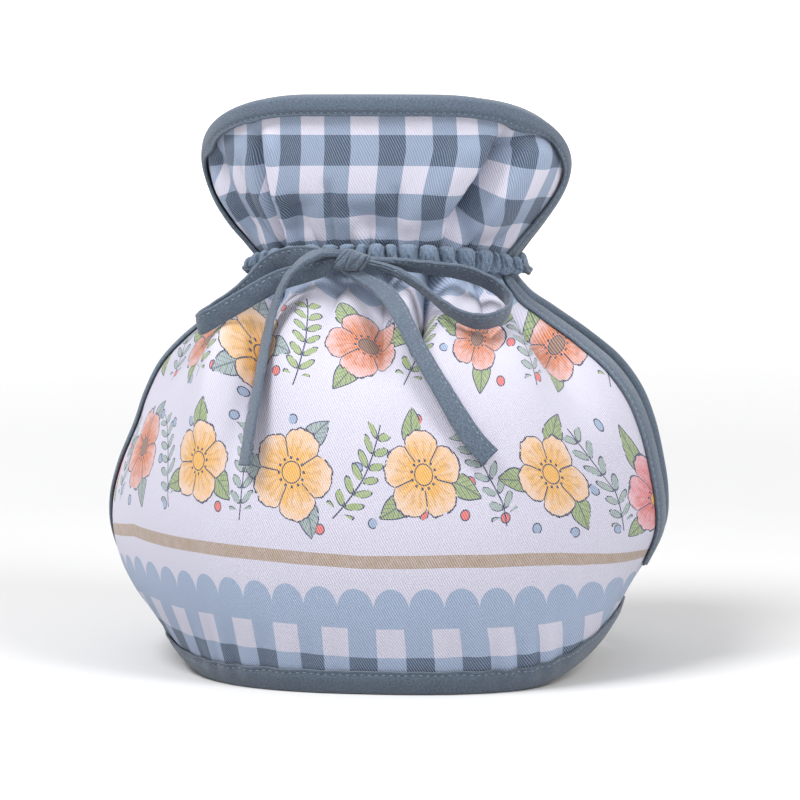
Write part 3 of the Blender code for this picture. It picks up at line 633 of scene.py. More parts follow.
def sew(name, place, width, sides, thread):
    """Stitches along a folded strip, on each side of the cloth that is asked for."""
    seam = np.array([width - STRIP_NOSE - BINDING_STITCH])
    level = STRIP_OUT + STRIP / 2 - STITCH_DIMPLE
    for side, label in sides:
        low, high = (place(seam, np.array([side * (level + radius)]))[:, 0]
                     for radius in (-STITCH_RADIUS, STITCH_RADIUS))
        stitch_row(name + label, (low + high) / 2, high - low, thread)


def add_binding(name, face, finish, thread):
    """Folded strip over the top and slit edges of one panel, with its stitches."""
    across, up = bound_edge()
    into_across, into_up = inward(across, up)
    loose = CORNER_LOOSE * ease((up - TOP_UP + 2 * CORNER_RISE) / CORNER_RISE)

    def place(into, out):
        return cloth(face, across[:, None] + into_across[:, None] * into,
                     up[:, None] + into_up[:, None] * into, out + np.sign(out) * loose[:, None])

    strip = new_strip(name, place(*closed_section(binding_line(BINDING_WIDTH), STRIP).T), finish)
    sew(f"{name}_stitches_", place, BINDING_WIDTH, ((1.0, "outer"), (-1.0, "inner")), thread)
    return strip


def hem_places(into, out):
    """Places round the whole hem, at distances in from the panels' lower edge and out from them."""
    shares = np.linspace(-SEAM_SHARE, SEAM_SHARE, HEM_STEPS)
    across = shares * by_side(shares, lambda side: half_flat(0.0, side))
    points = np.concatenate([cloth(face, places[:, None], into[None], out[None])
                             for face, places in ((FRONT, across), (BACK, across[::-1]))])
    points[..., 2] = np.maximum(points[..., 2], 0.0)
    return closed(points)


def add_hem(finish, thread):
    """Folded strip over the lower edge of both panels, all the way round, with its stitches."""
    places = hem_places(*closed_section(binding_line(HEM_WIDTH), STRIP).T)
    hem = new_strip("hem_strip", places, finish, joined=True)
    sew("hem_", hem_places, HEM_WIDTH, ((1.0, "stitches"),), thread)
    return hem


# ---- casings
CASING_STEPS = 560
CASING_ROUND = 30
CASING_OUT = 0.0033
CASING_DEPTH = 0.0021
CASING_HUG = 0.75
CASING_SEEDS = {FRONT: 3, BACK: 8}
RUCHE_WIDTHS = (0.55, 1.45)
RUCHE_SLANT = 0.16
RUCHE_BOW = 0.14
RUCHE_LOW = 0.70          # fullness of the narrowest ruche
RUCHE_FLATNESS = 3.0
RUCHE_GAP = 0.09
RUCHE_FINE = 0.00034
RUCHE_SINK = 0.36         # how far the creases sink, as a share of the depth
EDGE_RAMP = 0.016
MOUTH_STEP = 16
MOUTH_BACK = 0.0002
MOUTH_DEEP = 0.0030
MOUTH_NARROW = 0.62


def ruches(along, beside, count, seed):
    """How full a ruched tube is, from 0 in its creases to 1, and which ruche each place is in."""
    draw = np.random.RandomState(seed)
    widths = draw.uniform(*RUCHE_WIDTHS, count)
    creases = np.concatenate(([0.0], np.cumsum(widths))) / widths.sum()
    slants = draw.uniform(-RUCHE_SLANT, RUCHE_SLANT, count + 1) / count
    bows = draw.uniform(-RUCHE_BOW, RUCHE_BOW, count + 1) / count
    leaning = along + np.interp(along, creases, slants) * beside
    leaning = leaning + np.interp(along, creases, bows) * beside ** 2
    ruche = np.clip(np.searchsorted(creases, leaning) - 1, 0, count - 1)
    low, high = creases[ruche], creases[ruche + 1]
    inside = np.clip(np.minimum(leaning - low, high - leaning) * 2 / (high - low), 0, 1)
    inside = np.clip((inside - RUCHE_GAP) / (1 - RUCHE_GAP), 0, 1)
    wider = (widths - RUCHE_WIDTHS[0]) / (RUCHE_WIDTHS[1] - RUCHE_WIDTHS[0])
    height = (RUCHE_LOW + (1 - RUCHE_LOW) * wider)[ruche]
    return (1 - (1 - inside) ** RUCHE_FLATNESS) * height, ruche


def add_casing(name, face, count, finish):
    """Drawstring casing outside the neck, ruched along the tie inside it, its mouths left open."""
    low, high = (side * (half_flat(NECK_UP, side) + SIDES[side].casing_end) for side in SIDES)
    along = np.linspace(0, 1, CASING_STEPS)[:, None]
    turn = np.linspace(0, 2 * math.pi, CASING_ROUND + 1)[None]
    beside = np.sin(turn)
    full, ruche = ruches(along, beside, count, CASING_SEEDS[face])
    across = low + (high - low) * along
    reach = np.maximum((across - high) / EDGE_RAMP, (low - across) / EDGE_RAMP) + 1
    mouth = ease(reach * 3 - 2)
    forward = np.sign(np.cos(turn)) * np.abs(np.cos(turn)) ** 0.7
    fine = np.sin(along * 610 + 2.4 * ruche + 2.6 * beside * np.sin(ruche * 1.9)) * (1.25 - full)
    fine = fine + 0.55 * np.sin(along * 930 + 1.7 * ruche + 3 * np.sin(turn * 2 + ruche)) * full
    fine = RUCHE_FINE * (fine + 0.45 * np.sin(along * 340 + 5 * beside + 3.1 * ruche))
    sunk = -RUCHE_SINK + (1.30 + RUCHE_SINK) * full + 0.25 * mouth
    depth = CASING_DEPTH * np.where(forward > 0, sunk, 0.85) + fine
    edge_out = by_side(across, lambda side: SIDES[side].edge_out)
    rise = CASING_WIDTH / 2 * (0.94 + 0.40 * full + 0.12 * mouth) * beside
    points = cloth(face, across, NECK_UP + CASING_HUG * rise,
                   CASING_OUT + edge_out * ease(reach) + depth * forward, smooth_shape)
    points[..., 2] += (1 - CASING_HUG) * rise
    mouths = []
    for ring, beyond in ((points[0], points[MOUTH_STEP]), (points[-1], points[-1 - MOUTH_STEP])):
        centre = ring[:-1].mean(axis=0)
        step = unit(beyond[:-1].mean(axis=0) - centre)
        narrow = (ring - centre) * MOUTH_NARROW
        mouths.append([centre + narrow - step * MOUTH_BACK, centre + narrow * 0.9 + step * MOUTH_DEEP])
    return new_strip(name, np.concatenate((mouths[0][::-1], points, mouths[1])), finish)


# ---- bow
TAPE = 0.0010
TAPE_WIDTH = 0.0068
TAPE_STEPS = 12
TAPE_STITCH = 0.0013      # from the tape's sewn edge to its stitches
TAPE_SEAM = 1 - 2 * TAPE_STITCH / TAPE_WIDTH
TAPE_PUFF = 0.00022
TAPE_EDGE = 0.94          # where the section's rounded ends begin
TAPE_SIDE_STEPS = 15
TAPE_END_STEPS = 7
SEAM_DIP = 0.8            # depth of the stitched line, as a share of the puff
SEAM_WIDTH = 0.12
TAPE_WRINKLE = 0.00012
TAPE_WRINKLES = (900, 310)
TAPE_PLEAT = 0.00035      # depth of the pleats where the tape is squeezed
TIGHT_THICK = 0.7
LOOK_AHEAD = 0.01

# Places on a tape's route, how its width leans from upright and tips, in degrees, and how much of
# the width is left where the knot squeezes it.
Stop = namedtuple("Stop", "x y z lean tip squeeze")
SHAPE = ("lean", "tip", "squeeze")
LOOP_LEFT = in_mm(
    Stop, SHAPE,
    (-9.2, -40.2, 134, -4, 4, 0.4), (-14.2, -39.3, 134.5, -4, 4, 0.5), (-19.2, -37.4, 135.4, -4, 8, 0.82),
    (-26, -34.2, 135.3, -6, 12, 1), (-33.2, -31.4, 133.7, -10, 16, 1), (-38.6, -30.9, 130, -16, 20, 1),
    (-42.6, -35.2, 125.2, -18, 22, 1), (-47.2, -39.8, 121, -14, 22, 1), (-52.7, -41.2, 117.3, -6, 22, 1),
    (-56.8, -43.4, 114.7, 0, 20, 1), (-56.2, -47, 114, -4, 20, 1), (-51, -50, 116.8, -14, 20, 1),
    (-44, -47, 120.9, -22, 18, 1), (-38.5, -44, 124.2, -22, 16, 1), (-31.8, -41.6, 127.8, -18, 12, 1),
    (-23.8, -41.2, 130.2, -12, 8, 0.95), (-17.5, -41.6, 132, -8, 4, 0.85),
    (-13.6, -41.8, 133.2, -2, 4, 0.66), (-8.8, -41, 134.2, 4, 4, 0.4))
LOOP_RIGHT = in_mm(
    Stop, SHAPE,
    (-8, -40.2, 134.5, 0, 20, 0.25), (-3, -40.4, 134.5, 0, 26, 0.3), (2.2, -40.4, 133.8, 2, 34, 0.48),
    (10, -40.2, 133, 4, 42, 0.74), (18.2, -39.1, 131.9, 6, 45, 0.9), (26.2, -37.2, 130.7, 8, 45, 0.97),
    (32.6, -35.6, 128.5, 12, 45, 1), (38, -35.2, 125.5, 18, 45, 1), (41.6, -37, 122, 22, 45, 1),
    (42, -42, 118.8, 16, 45, 1), (39, -47, 116.8, 8, 45, 1), (34, -50.2, 116, 0, 45, 1),
    (28.2, -51.2, 117.4, -8, 45, 1), (22.6, -49.4, 120.4, -12, 44, 1), (16.8, -46.6, 124.6, -14, 42, 0.84),
    (10.8, -44.2, 128.6, -12, 38, 0.62), (4.6, -42.6, 131.6, -8, 30, 0.44),
    (-2.2, -41.8, 133.6, -4, 20, 0.32), (-8, -41, 134.3, 0, 16, 0.25))
TAIL_LEFT = in_mm(
    Stop, SHAPE,
    (-8.6, -39.8, 135.4, 0, -70, 0.35), (-12.2, -41.5, 136.6, 0, -74, 0.5),
    (-17.4, -44.4, 137.1, -10, -74, 0.75), (-22.2, -47, 135.1, -30, -73, 0.95),
    (-26, -47.4, 131.8, -44, -72, 1), (-28.8, -47.6, 128, -56, -71, 1), (-31.2, -48.6, 122.4, -68, -70, 1),
    (-32.8, -53, 115.2, -74, -69, 1), (-33.4, -60.2, 107.3, -76, -68, 1), (-33.9, -66.4, 99.8, -78, -66, 1),
    (-34.6, -70.8, 92.2, -78, -63, 1), (-35.4, -73.8, 86, -78, -60, 1), (-36.2, -76, 79.4, -78, -58, 1),
    (-37, -77.4, 72.6, -78, -56, 0.92))
TAIL_RIGHT = in_mm(
    Stop, SHAPE,
    (-12.6, -41.8, 133, 14, 0, 0.14), (-10.4, -42, 131.3, 20, -20, 0.28), (-4.5, -43, 128.8, 30, -44, 0.62),
    (1.8, -46.8, 126, 42, -52, 0.9), (6.6, -52.8, 122.1, 56, -54, 1), (10.8, -60.2, 116.8, 64, -54, 1),
    (15.9, -66, 108.8, 64, -52, 1), (20.7, -69.4, 101.5, 62, -48, 1), (25.6, -72, 94.1, 60, -40, 1),
    (30, -73.1, 87.1, 58, -28, 1), (34.6, -73.3, 80.6, 54, -18, 1), (39.2, -72.6, 75.7, 50, -12, 1))
TAPES = (
    ("loop_left", LOOP_LEFT, "bow_loop_left", False),
    ("loop_right", LOOP_RIGHT, "bow_loop_right", False),
    ("tail_left", TAIL_LEFT, "tie_tail_left", True),
    ("tail_right", TAIL_RIGHT, "tie_tail_right", True),
)
KNOT_PLACE = (-0.0083, -0.0412, 0.1345)
# Outline of the wrap seen from the front, in millimetres from its middle.
KNOT_OUTLINE = ((6.2, 1.2), (3.6, 2.2), (0.7, 3.3), (-2.1, 3.7), (-4.2, 1.5), (-6.1, -1.4), (-5.8, -2.7),
                (-1.7, -3.4), (3.2, -3.5), (5.2, -1.0))
KNOT_DEEP = 0.0042
KNOT_TURN = 54.0          # slope of the wrap's creases
KNOT_SIDES = 96
KNOT_RINGS = 64
KNOT_SOFTENING = 5
KNOT_POLE = 0.001
KNOT_WEAVE = 0.00007
# Creases (negative) and ridges of the wrap: place, lean, width in millimetres, and height.
KNOT_FOLDS = (
    (3.55, 0.00, 0.26, -0.00120),
    (2.85, 0.00, 0.40, 0.00030),
    (1.35, 0.10, 0.24, -0.00045),
    (-0.70, -0.14, 0.28, -0.00060),
    (-2.60, 0.16, 0.26, -0.00050),
    (-3.80, 0.00, 0.34, 0.00025),
)
CROSSING_RADIUS = 0.0013
CROSSING_OUT = 0.0038
CROSSING_BOW = 0.0015
CROSSING_SAG = 0.0010
CROSSING_STEPS = 60
CROSSING_SIDES = 24


def tape_frame(stops, along):
    """Middle, width direction, outward direction and squeeze of a tape at shares of its length."""
    numbers = np.arange(len(stops), dtype=float)
    at = along * (len(stops) - 1)
    rows = np.array(stops).T
    x, y, z, lean, tip, squeeze = (curve_through(numbers, row, at) for row in rows)
    centre = np.stack((x, y, z), axis=-1)
    ahead = np.stack([curve_through(numbers, row, at + LOOK_AHEAD) for row in rows[:3]], axis=-1)
    heading = unit(ahead - centre)
    lean, tip = np.radians(lean), np.radians(tip)
    width = np.stack((np.sin(lean) * np.cos(tip), -np.sin(tip), np.cos(lean) * np.cos(tip)), axis=-1)
    width = unit(width - heading * np.sum(width * heading, axis=-1, keepdims=True))
    return centre, width, np.cross(heading, width), squeeze


def tape_section():
    """Section of the folded tape: width from -1 to 1 and depth, soft over its filling of seam cloth."""
    share = np.linspace(-TAPE_EDGE, TAPE_EDGE, TAPE_SIDE_STEPS)
    dip = SEAM_DIP * TAPE_PUFF * np.exp(-((share - TAPE_SEAM) / SEAM_WIDTH) ** 2)
    puff = TAPE_PUFF * (1 - share ** 2) - dip
    front = np.stack((share, TAPE / 2 + puff), axis=-1)
    turns = np.linspace(math.pi / 2, -math.pi / 2, TAPE_END_STEPS)[1:-1]
    end = np.stack((TAPE_EDGE + (1 - TAPE_EDGE) * np.cos(turns), TAPE / 2 * np.sin(turns)), axis=-1)
    return closed(np.concatenate((front, end, (front * (1, -1))[::-1], end[::-1] * (-1, 1))))


def add_tape(name, stops, finish, thread):
    """Flat folded tape along a route, with the stitches that close its open edge."""
    along = np.linspace(0, 1, TAPE_STEPS * (len(stops) - 1) + 1)
    centre, width, out, squeeze = tape_frame(stops, along)
    across, depth = tape_section().T[:, None, :, None]
    run = lengths_along(centre, 0)[:, None, None]
    short, long = TAPE_WRINKLES
    ripple = TAPE_WRINKLE * np.sin(run * short + 2.2 * across) * np.sin(run * long + 1)
    tight = (1 - squeeze)[:, None, None]
    pleats = TAPE_PLEAT * tight * np.sin(across * 9 + run * 240)
    depth = depth * (1 + TIGHT_THICK * tight) + ripple + pleats
    half = (TAPE_WIDTH / 2 * squeeze)[:, None]
    grid = centre[:, None] + width[:, None] * half[:, None] * across + out[:, None] * depth
    piece = new_strip(name, grid, finish)
    line = centre + width * half * TAPE_SEAM
    for side, label in ((1.0, "face"), (-1.0, "reverse")):
        path = line + out * (side * TAPE / 2 + ripple[:, 0])
        stitch_row(f"{name}_stitches_{label}", path, out * side, thread)
    return piece, centre


def add_knot(finish):
    """The bow's knot: the tape wrapped once round, creased where it is pulled tight."""
    outline = closed(np.array(KNOT_OUTLINE) / 1000)
    run = lengths_along(outline, 0)
    rim = read(np.linspace(0, run[-1], KNOT_SIDES + 1), run, outline)
    for _ in range(KNOT_SOFTENING):
        rim[:-1] = (np.roll(rim[:-1], 1, 0) + 2 * rim[:-1] + np.roll(rim[:-1], -1, 0)) / 4
    rim[-1] = rim[0]
    polar = np.linspace(KNOT_POLE, math.pi - KNOT_POLE, KNOT_RINGS)[:, None]
    x, z = np.sin(polar) ** 0.8 * rim.T[:, None]
    slope = math.radians(KNOT_TURN)
    beside = (x * math.sin(slope) - z * math.cos(slope)) * 1000
    along = (x * math.cos(slope) + z * math.sin(slope)) * 1000
    folds = sum(size * np.exp(-((beside - place - lean * along) / width) ** 2)
                for place, lean, width, size in KNOT_FOLDS)
    shallow = np.cos(polar)
    deep = KNOT_DEEP * np.sign(shallow) * np.abs(shallow) ** 0.62
    deep = deep * (1 - 0.10 * (beside / 4) ** 2) + folds * np.clip(shallow * 1.6, 0, 1) ** 0.6
    deep = deep + KNOT_WEAVE * np.sin(beside * 7 + 2 * np.sin(along * 1.3)) * np.clip(shallow * 2, 0, 1)
    points = np.stack((x, -deep, z), axis=-1) + KNOT_PLACE
    return new_strip("knot_wrap", points[::-1], finish)


def add_crossing(name, side, finish):
    """The tie where it crosses a slit, drawn up narrow between the mouths of the two casings."""
    across = side * (half_flat(NECK_UP, side) + SIDES[side].casing_end + 2 * GAP)
    front, back = (cloth(face, [across], [NECK_UP], CROSSING_OUT + SIDES[side].edge_out, smooth_shape)[0]
                   for face in (FRONT, BACK))
    share = np.linspace(0, 1, CROSSING_STEPS)[:, None]
    line = front * (1 - share) + back * share
    line = line + np.sin(share * math.pi) * (side * CROSSING_BOW, 0.0, -CROSSING_SAG)
    turn = np.linspace(0, 2 * math.pi, CROSSING_SIDES + 1)[None]
    lumps = 0.16 * np.cos(3 * turn + 9 * share) + 0.05 * np.sin(70 * share + 2 * turn)
    heading = unit(np.gradient(line, axis=0))
    beside = unit(np.cross(heading, (0.0, 0.0, 1.0)))
    axes = np.stack((beside, np.cross(beside, heading)), axis=1)
    round_it = np.stack((np.cos(turn), np.sin(turn)), axis=-1) @ axes
    return new_strip(name, line[:, None] + CROSSING_RADIUS * (1 + lumps)[..., None] * round_it, finish)


# ---- shader maths


def math_method(operation, reflected=False):
    """A method that adds a Math node, with its own wire as the last value where it is reflected."""
    def method(self, *others):
        return self.tree.math(operation, *((*others, self) if reflected else (self, *others)))
    return method


class Wire:
    """A node's output that can be used in Python expressions; each operator adds a Math node."""

    def __init__(self, tree, socket):
        self.tree = tree
        self.socket = socket

    def math(self, operation, *values):
        return self.tree.math(operation, self, *values)

    __add__, __radd__ = math_method("ADD"), math_method("ADD", True)
    __sub__, __rsub__ = math_method("SUBTRACT"), math_method("SUBTRACT", True)
    __mul__, __rmul__ = math_method("MULTIPLY"), math_method("MULTIPLY", True)
    __truediv__, __rtruediv__ = math_method("DIVIDE"), math_method("DIVIDE", True)
    __mod__, __pow__ = math_method("FLOORED_MODULO"), math_method("POWER")
    __lt__, __gt__ = math_method("LESS_THAN"), math_method("GREATER_THAN")
    __and__, __or__ = math_method("MULTIPLY"), math_method("MAXIMUM")
    __abs__ = math_method("ABSOLUTE")

    def root(self):
        return self.math("SQRT")

    def clamped(self):
        return self.math("MAXIMUM", 0.0).math("MINIMUM", 1.0)


class Tree:
    """Adds nodes to one finish."""

    def __init__(self, finish):
        self.nodes = finish.node_tree.nodes
        self.links = finish.node_tree.links

    def fill(self, node, values):
        for key, value in values.items():
            if isinstance(value, Wire):
                self.links.new(value.socket, node.inputs[key])
            else:
                node.inputs[key].default_value = value

    def add(self, kind, settings=None, values=None, outputs=(0,)):
        """One node of a type: its settings first, then the values or links of its sockets."""
        node = self.nodes.new(kind)
        for name, value in (settings or {}).items():
            setattr(node, name, value)
        self.fill(node, values or {})
        wires = [Wire(self, node.outputs[name]) for name in outputs]
        return wires[0] if len(wires) == 1 else wires

    def math(self, operation, *values):
        return self.add("ShaderNodeMath", {"operation": operation}, dict(enumerate(values)))

    def mix(self, share, first, second):
        """Colour between two colours."""
        return self.add("ShaderNodeMix", {"data_type": "RGBA"}, {0: share, 6: first, 7: second}, (2,))

    def noise(self, place, size, detail=2.0, rough=0.5):
        return self.add("ShaderNodeTexNoise", None,
                        {"Vector": place, "Scale": 1 / size, "Detail": detail, "Roughness": rough})

    def position(self):
        return self.add("ShaderNodeNewGeometry", None, None, ("Position",))

    def flat(self):
        """The cloth's own flat place, whole and split into its two ways."""
        place = self.add("ShaderNodeUVMap", {"uv_map": "Flat"})
        return place, *self.add("ShaderNodeSeparateXYZ", None, {0: place}, ("X", "Y"))

    def wave(self, value, period):
        """From -1 to 1 and back in each period."""
        return (value * (2 * math.pi / period)).math("SINE")


SHINE = 0.25
SHEEN_SOFT = 0.5


def new_finish(name, roughness=0.85, sheen=0.0):
    """Empty cloth finish, its tree and its surface node."""
    finish = bpy.data.materials.new(name)
    finish.use_nodes = True
    surface = finish.node_tree.nodes["Principled BSDF"]
    tree = Tree(finish)
    tree.fill(surface, {"Roughness": roughness, "Specular IOR Level": SHINE, "Sheen Weight": sheen,
                        "Sheen Roughness": SHEEN_SOFT})
    return finish, tree, surface


def bump(tree, surface, height, distance):
    """Feed a height to a surface's normal."""
    lump = tree.add("ShaderNodeBump", None, {"Height": height, "Distance": distance})
    tree.fill(surface, {"Normal": lump})


def opaque(colour, share=1.0, lift=0.0):
    """A colour for a socket, at a share of its brightness and lifted."""
    return (*[min(1.0, share * channel + lift) for channel in colour], 1.0)


# ---- print: sizes in the flat print, with ups and rows measured from the hem
CHECK = 0.0186
CHECK_START = 0.0087
CHECK_ROW = (0.0110, 0.0209)
SCALLOP = 0.0120
SCALLOP_START = -0.0025
SCALLOP_FOOT = 0.0272
SCALLOP_RISE = 0.0068
STRIPE = (0.0404, 0.0444)
FRILL_CHECK = 0.0179
FRILL_CHECK_START = 0.0054
BAND_TOP = 0.1475
BAND_FOOT = 0.1396
TWILL_PITCH = 0.00077
TWILL_SLOPE = (0.87, 0.50)
TWILL_WANDER = 0.00012
TWILL_CROSS = (0.6, 0.12)   # pitch of the yarns across, as a share of the wales', and their height
TWILL_THIN = (0.16, 0.28)   # how far the ground shows on the wales, and how much more with the yarns
HAND = 0.0009             # how far the drawn lines stray
FLOWER_CELL = (0.0440, 0.0430)
FLOWER_BASE = 0.0470
FLOWER_TOP = 0.1330
FLOWER_SIZE = (0.0122, 0.0030)
PETAL_EDGE = 0.0003
PETALS = 5
HEART = (0.24, 0.31)      # its edge and its dots, as shares of the flower's size
LEAF_LENGTH = 0.0125
LEAF_HALF = 0.0036
LEAF_BEND = 0.0022
VEIN = (0.0024, 0.00035)  # pitch and width
BERRY_CELL = (0.0147, 0.0143)
BERRY_SIZE = 0.0015
SPRIG_LENGTH = 0.0165
SPRIG_PITCH = 0.0047
SPRIG_BEND = 9.0
SPRIG_OUT = 0.0026        # from the stem to its leaves' middles
SPRIG_TILT = (0.62, 0.78)
SPRIG_LEAF = (0.0027, 0.0011)
LINE = 0.00028            # half width of an inked line
WEAVE_DEEP = 0.00011


def cells(tree, u, v, size, shift, seed):
    """Local place in a staggered cell and four numbers of its own from 0 to 1."""
    rows = (v - FLOWER_BASE) / size[1]
    row = rows.math("FLOOR")
    columns = u / size[0] + row * 0.5 + shift
    column = columns.math("FLOOR")
    place = tree.add("ShaderNodeCombineXYZ", None, {"X": column, "Y": row, "Z": seed})
    value, colour = tree.add("ShaderNodeTexWhiteNoise", {"noise_dimensions": "3D"}, {"Vector": place},
                             ("Value", "Color"))
    own = tree.add("ShaderNodeSeparateColor", None, {"Color": colour}, ("Red", "Green", "Blue"))
    return (columns - column - 0.5) * size[0], (rows - row - 0.5) * size[1], (value, *own)


def checks(tree, u, v, inks, ground):
    """Colours of the checked hem with the band above it, and of the frill's checks."""
    column = ((u - CHECK_START) / CHECK + 0.25) % 1.0 > 0.5
    white_row = (v > CHECK_ROW[0]) & (v < CHECK_ROW[1])
    low = tree.mix(column, tree.mix(white_row, inks["light"], ground),
                   tree.mix(white_row, inks["dark"], inks["light"]))
    low = tree.mix(v > CHECK_ROW[1], low, inks["light"])
    column = ((u - FRILL_CHECK_START) / FRILL_CHECK + 0.25) % 1.0 < 0.5
    row = ((v - BAND_TOP) / FRILL_CHECK) % 1.0 < 0.5
    frill = tree.mix(column | row, ground, inks["light"])
    return tree.mix(v > BAND_TOP, low, tree.mix(column & row, frill, inks["dark"]))


def flowers(tree, u, v, inks, under, patchy):
    """A spray of painted flowers with leaves, one to a cell, over the colour under it."""
    x, y, own = cells(tree, u, v, FLOWER_CELL, 0.0, 3.0)
    x, y = x + (own[1] - 0.5) * 0.006, y + (own[2] - 0.5) * 0.004
    far = (x * x + y * y).root()
    ink = inks["ink"]
    angle = y.math("ARCTAN2", x)
    size = FLOWER_SIZE[0] + own[0] * FLOWER_SIZE[1]
    turned = angle + own[3] * 6.28
    ragged = 1 + (patchy - 0.5) * 0.22
    # leaves
    third = (turned % (2 * math.pi / 3)) - math.pi / 3
    reach, aside = far * third.math("COSINE"), far * third.math("SINE")
    share = (reach - size * 0.58) / LEAF_LENGTH
    inside = (share > 0.0) & (share < 1.0)
    aside = abs(aside + share * share * LEAF_BEND - 0.0006)
    half = (share.math("MAXIMUM", 0.0) ** 0.85 * math.pi).math("SINE") * LEAF_HALF * ragged
    veins = ((reach - aside * 1.3) % VEIN[0] < VEIN[1]) & (aside > 0.0004)
    leaf = tree.mix(own[1] > 0.62, inks["leaf"], inks["grey_leaf"])
    leaf = tree.mix(patchy * 0.6, leaf, inks["pale_leaf"])
    leaf = tree.mix((veins | (aside < LINE)) * 0.65, leaf, ink)
    colour = tree.mix(inside & (aside < half), under, leaf)
    rim = inside & (abs(aside - half * 1.02 - 0.0001) < 0.00024) & (patchy > 0.40)
    colour = tree.mix(rim, colour, ink)
    # petals
    lobes = abs((turned * (PETALS / 2)).math("COSINE"))
    edge = size * (0.70 + 0.30 * lobes ** 0.55) * ragged
    hue = tree.mix(own[2] > 0.36, inks["orange"], inks["gold"])
    hue = tree.mix(own[2] > 0.68, hue, inks["coral"])
    worn = (far / size - 0.30) * 1.1 + (patchy - 0.5) * 1.6
    petal = tree.mix(worn, hue, tree.mix(0.55, hue, inks["ground"]))
    strokes = (tree.wave(turned + patchy * 0.5, 0.30) > 0.45) & (far > size * 0.34) & (far < size * 0.74)
    petal = tree.mix(strokes * 0.45, petal, tree.mix(0.35, hue, ink))
    colour = tree.mix(far < edge, colour, petal)
    seam = (far * lobes * 0.4 < 0.00022) & (far > size * 0.34) & (far < size * 0.76)
    line = abs(far - edge + PETAL_EDGE * (angle - 1.0).math("COSINE")) < LINE
    colour = tree.mix((seam | line) & (patchy > 0.36), colour, ink)
    # heart
    heart = tree.mix(own[2] > 0.36, inks["heart"], inks["gold"])
    colour = tree.mix(far < size * HEART[0] * ragged, colour, heart)
    dots = (tree.wave(turned, 0.52) > 0.35) & (abs(far - size * HEART[1]) < 0.00045)
    return tree.mix(dots | (abs(far - size * 0.23) < 0.0002), colour, ink)


def sprigs(tree, u, v, inks, under, patchy):
    """Leafy sprigs between the flowers, and small berries, over the colour under them."""
    x, y, own = cells(tree, u, v, BERRY_CELL, 0.25, 9.0)
    x, y = x + (own[0] - 0.5) * 0.006, y + (own[1] - 0.5) * 0.006
    far = (x * x + y * y).root()
    berry = (far < BERRY_SIZE) & (own[2] > 0.45)
    colour = tree.mix(berry, under, tree.mix(own[3] > 0.5, inks["coral"], inks["light"]))
    ring = (abs(far - BERRY_SIZE - 0.00005) < 0.0002) & (own[2] > 0.45) & (patchy > 0.42)
    colour = tree.mix(ring, colour, inks["ink"])
    x, y, own = cells(tree, u, v, FLOWER_CELL, 0.5, 5.0)
    lean = (own[0] - 0.5) * 1.3
    cosine, sine = lean.math("COSINE"), lean.math("SINE")
    along = x * sine + y * cosine
    aside = x * cosine - y * sine + along * along * SPRIG_BEND - 0.0008
    stem = (abs(along) < SPRIG_LENGTH) & (abs(aside) < 0.00026)
    near = (along + SPRIG_LENGTH) % SPRIG_PITCH - 0.0024
    out = abs(aside) - SPRIG_OUT
    rising, level = SPRIG_TILT
    tilted_long = (near * rising + out * level) / SPRIG_LEAF[0]
    tilted_wide = (near * level - out * rising) / SPRIG_LEAF[1]
    leaf_far = (tilted_long * tilted_long + tilted_wide * tilted_wide).root()
    length = abs(along - 0.001) < 0.0142
    leaf = tree.mix(own[1] > 0.5, inks["grey_leaf"], inks["leaf"])
    leaf = tree.mix(patchy * 0.7, leaf, inks["pale_leaf"])
    colour = tree.mix(length & (leaf_far < 1.0), colour, leaf)
    outline = length & (abs(leaf_far - 1.02) < 0.11) & (patchy > 0.45)
    return tree.mix(stem | outline, colour, inks["ink"])


def printed_cotton(name, print_colours):
    """White cotton twill with the checked borders and the flower print."""
    finish, tree, surface = new_finish(name, sheen=0.12)
    inks = {ink: opaque(getattr(print_colours, ink)) for ink in settings_of(print_colours)}
    place, u, v = tree.flat()
    patchy = tree.noise(place, 0.0034, 3.0, 0.6)
    hand = HAND * (tree.noise(place, 0.012, 1.0) - 0.5)
    u_drawn, v_drawn = u + hand, v + hand
    # Below the frill's band the whites take the darker body copy, as painted shade; the frill keeps the
    # brighter ground.
    ground = tree.mix(v > BAND_FOOT, inks["body"], inks["ground"])
    art = sprigs(tree, u_drawn, v_drawn, inks, ground, patchy)
    art = flowers(tree, u_drawn, v_drawn, inks, art, patchy)
    field = tree.mix((v > FLOWER_BASE + 0.0004) & (v < FLOWER_TOP), ground, art)
    stripe = (v_drawn > STRIPE[0] + hand * 0.6) & (v_drawn < STRIPE[1] + hand * 0.8)
    field = tree.mix(stripe, field, tree.mix(patchy * 0.35, inks["stripe"], inks["ground"]))
    arch = ((u - SCALLOP_START) / SCALLOP + 0.5) % 1.0 * 2 - 1
    rise = SCALLOP_RISE * (1 - arch * arch).root()
    in_field = (v > SCALLOP_FOOT + rise) & (v < BAND_FOOT - rise)
    colour = tree.mix(in_field, checks(tree, u, v, inks, ground), field)
    yarns = tree.noise(place, 0.0005, 1.0)
    slant = u * TWILL_SLOPE[0] + v * TWILL_SLOPE[1]
    wale = tree.wave(slant + yarns * TWILL_WANDER, TWILL_PITCH) * 0.5 + 0.5
    colour = tree.mix(wale * wale * (TWILL_THIN[0] + TWILL_THIN[1] * yarns), colour, inks["ground"])
    colour = tree.mix((1 - wale) * 0.10, colour, inks["dark"])
    cross = tree.wave(u * TWILL_SLOPE[1] - v * TWILL_SLOPE[0], TWILL_PITCH * TWILL_CROSS[0])
    tree.fill(surface, {"Base Color": colour, "Roughness": 0.80 + 0.10 * yarns})
    bump(tree, surface, wale + cross * TWILL_CROSS[1] + yarns * 0.5, WEAVE_DEEP)
    return finish


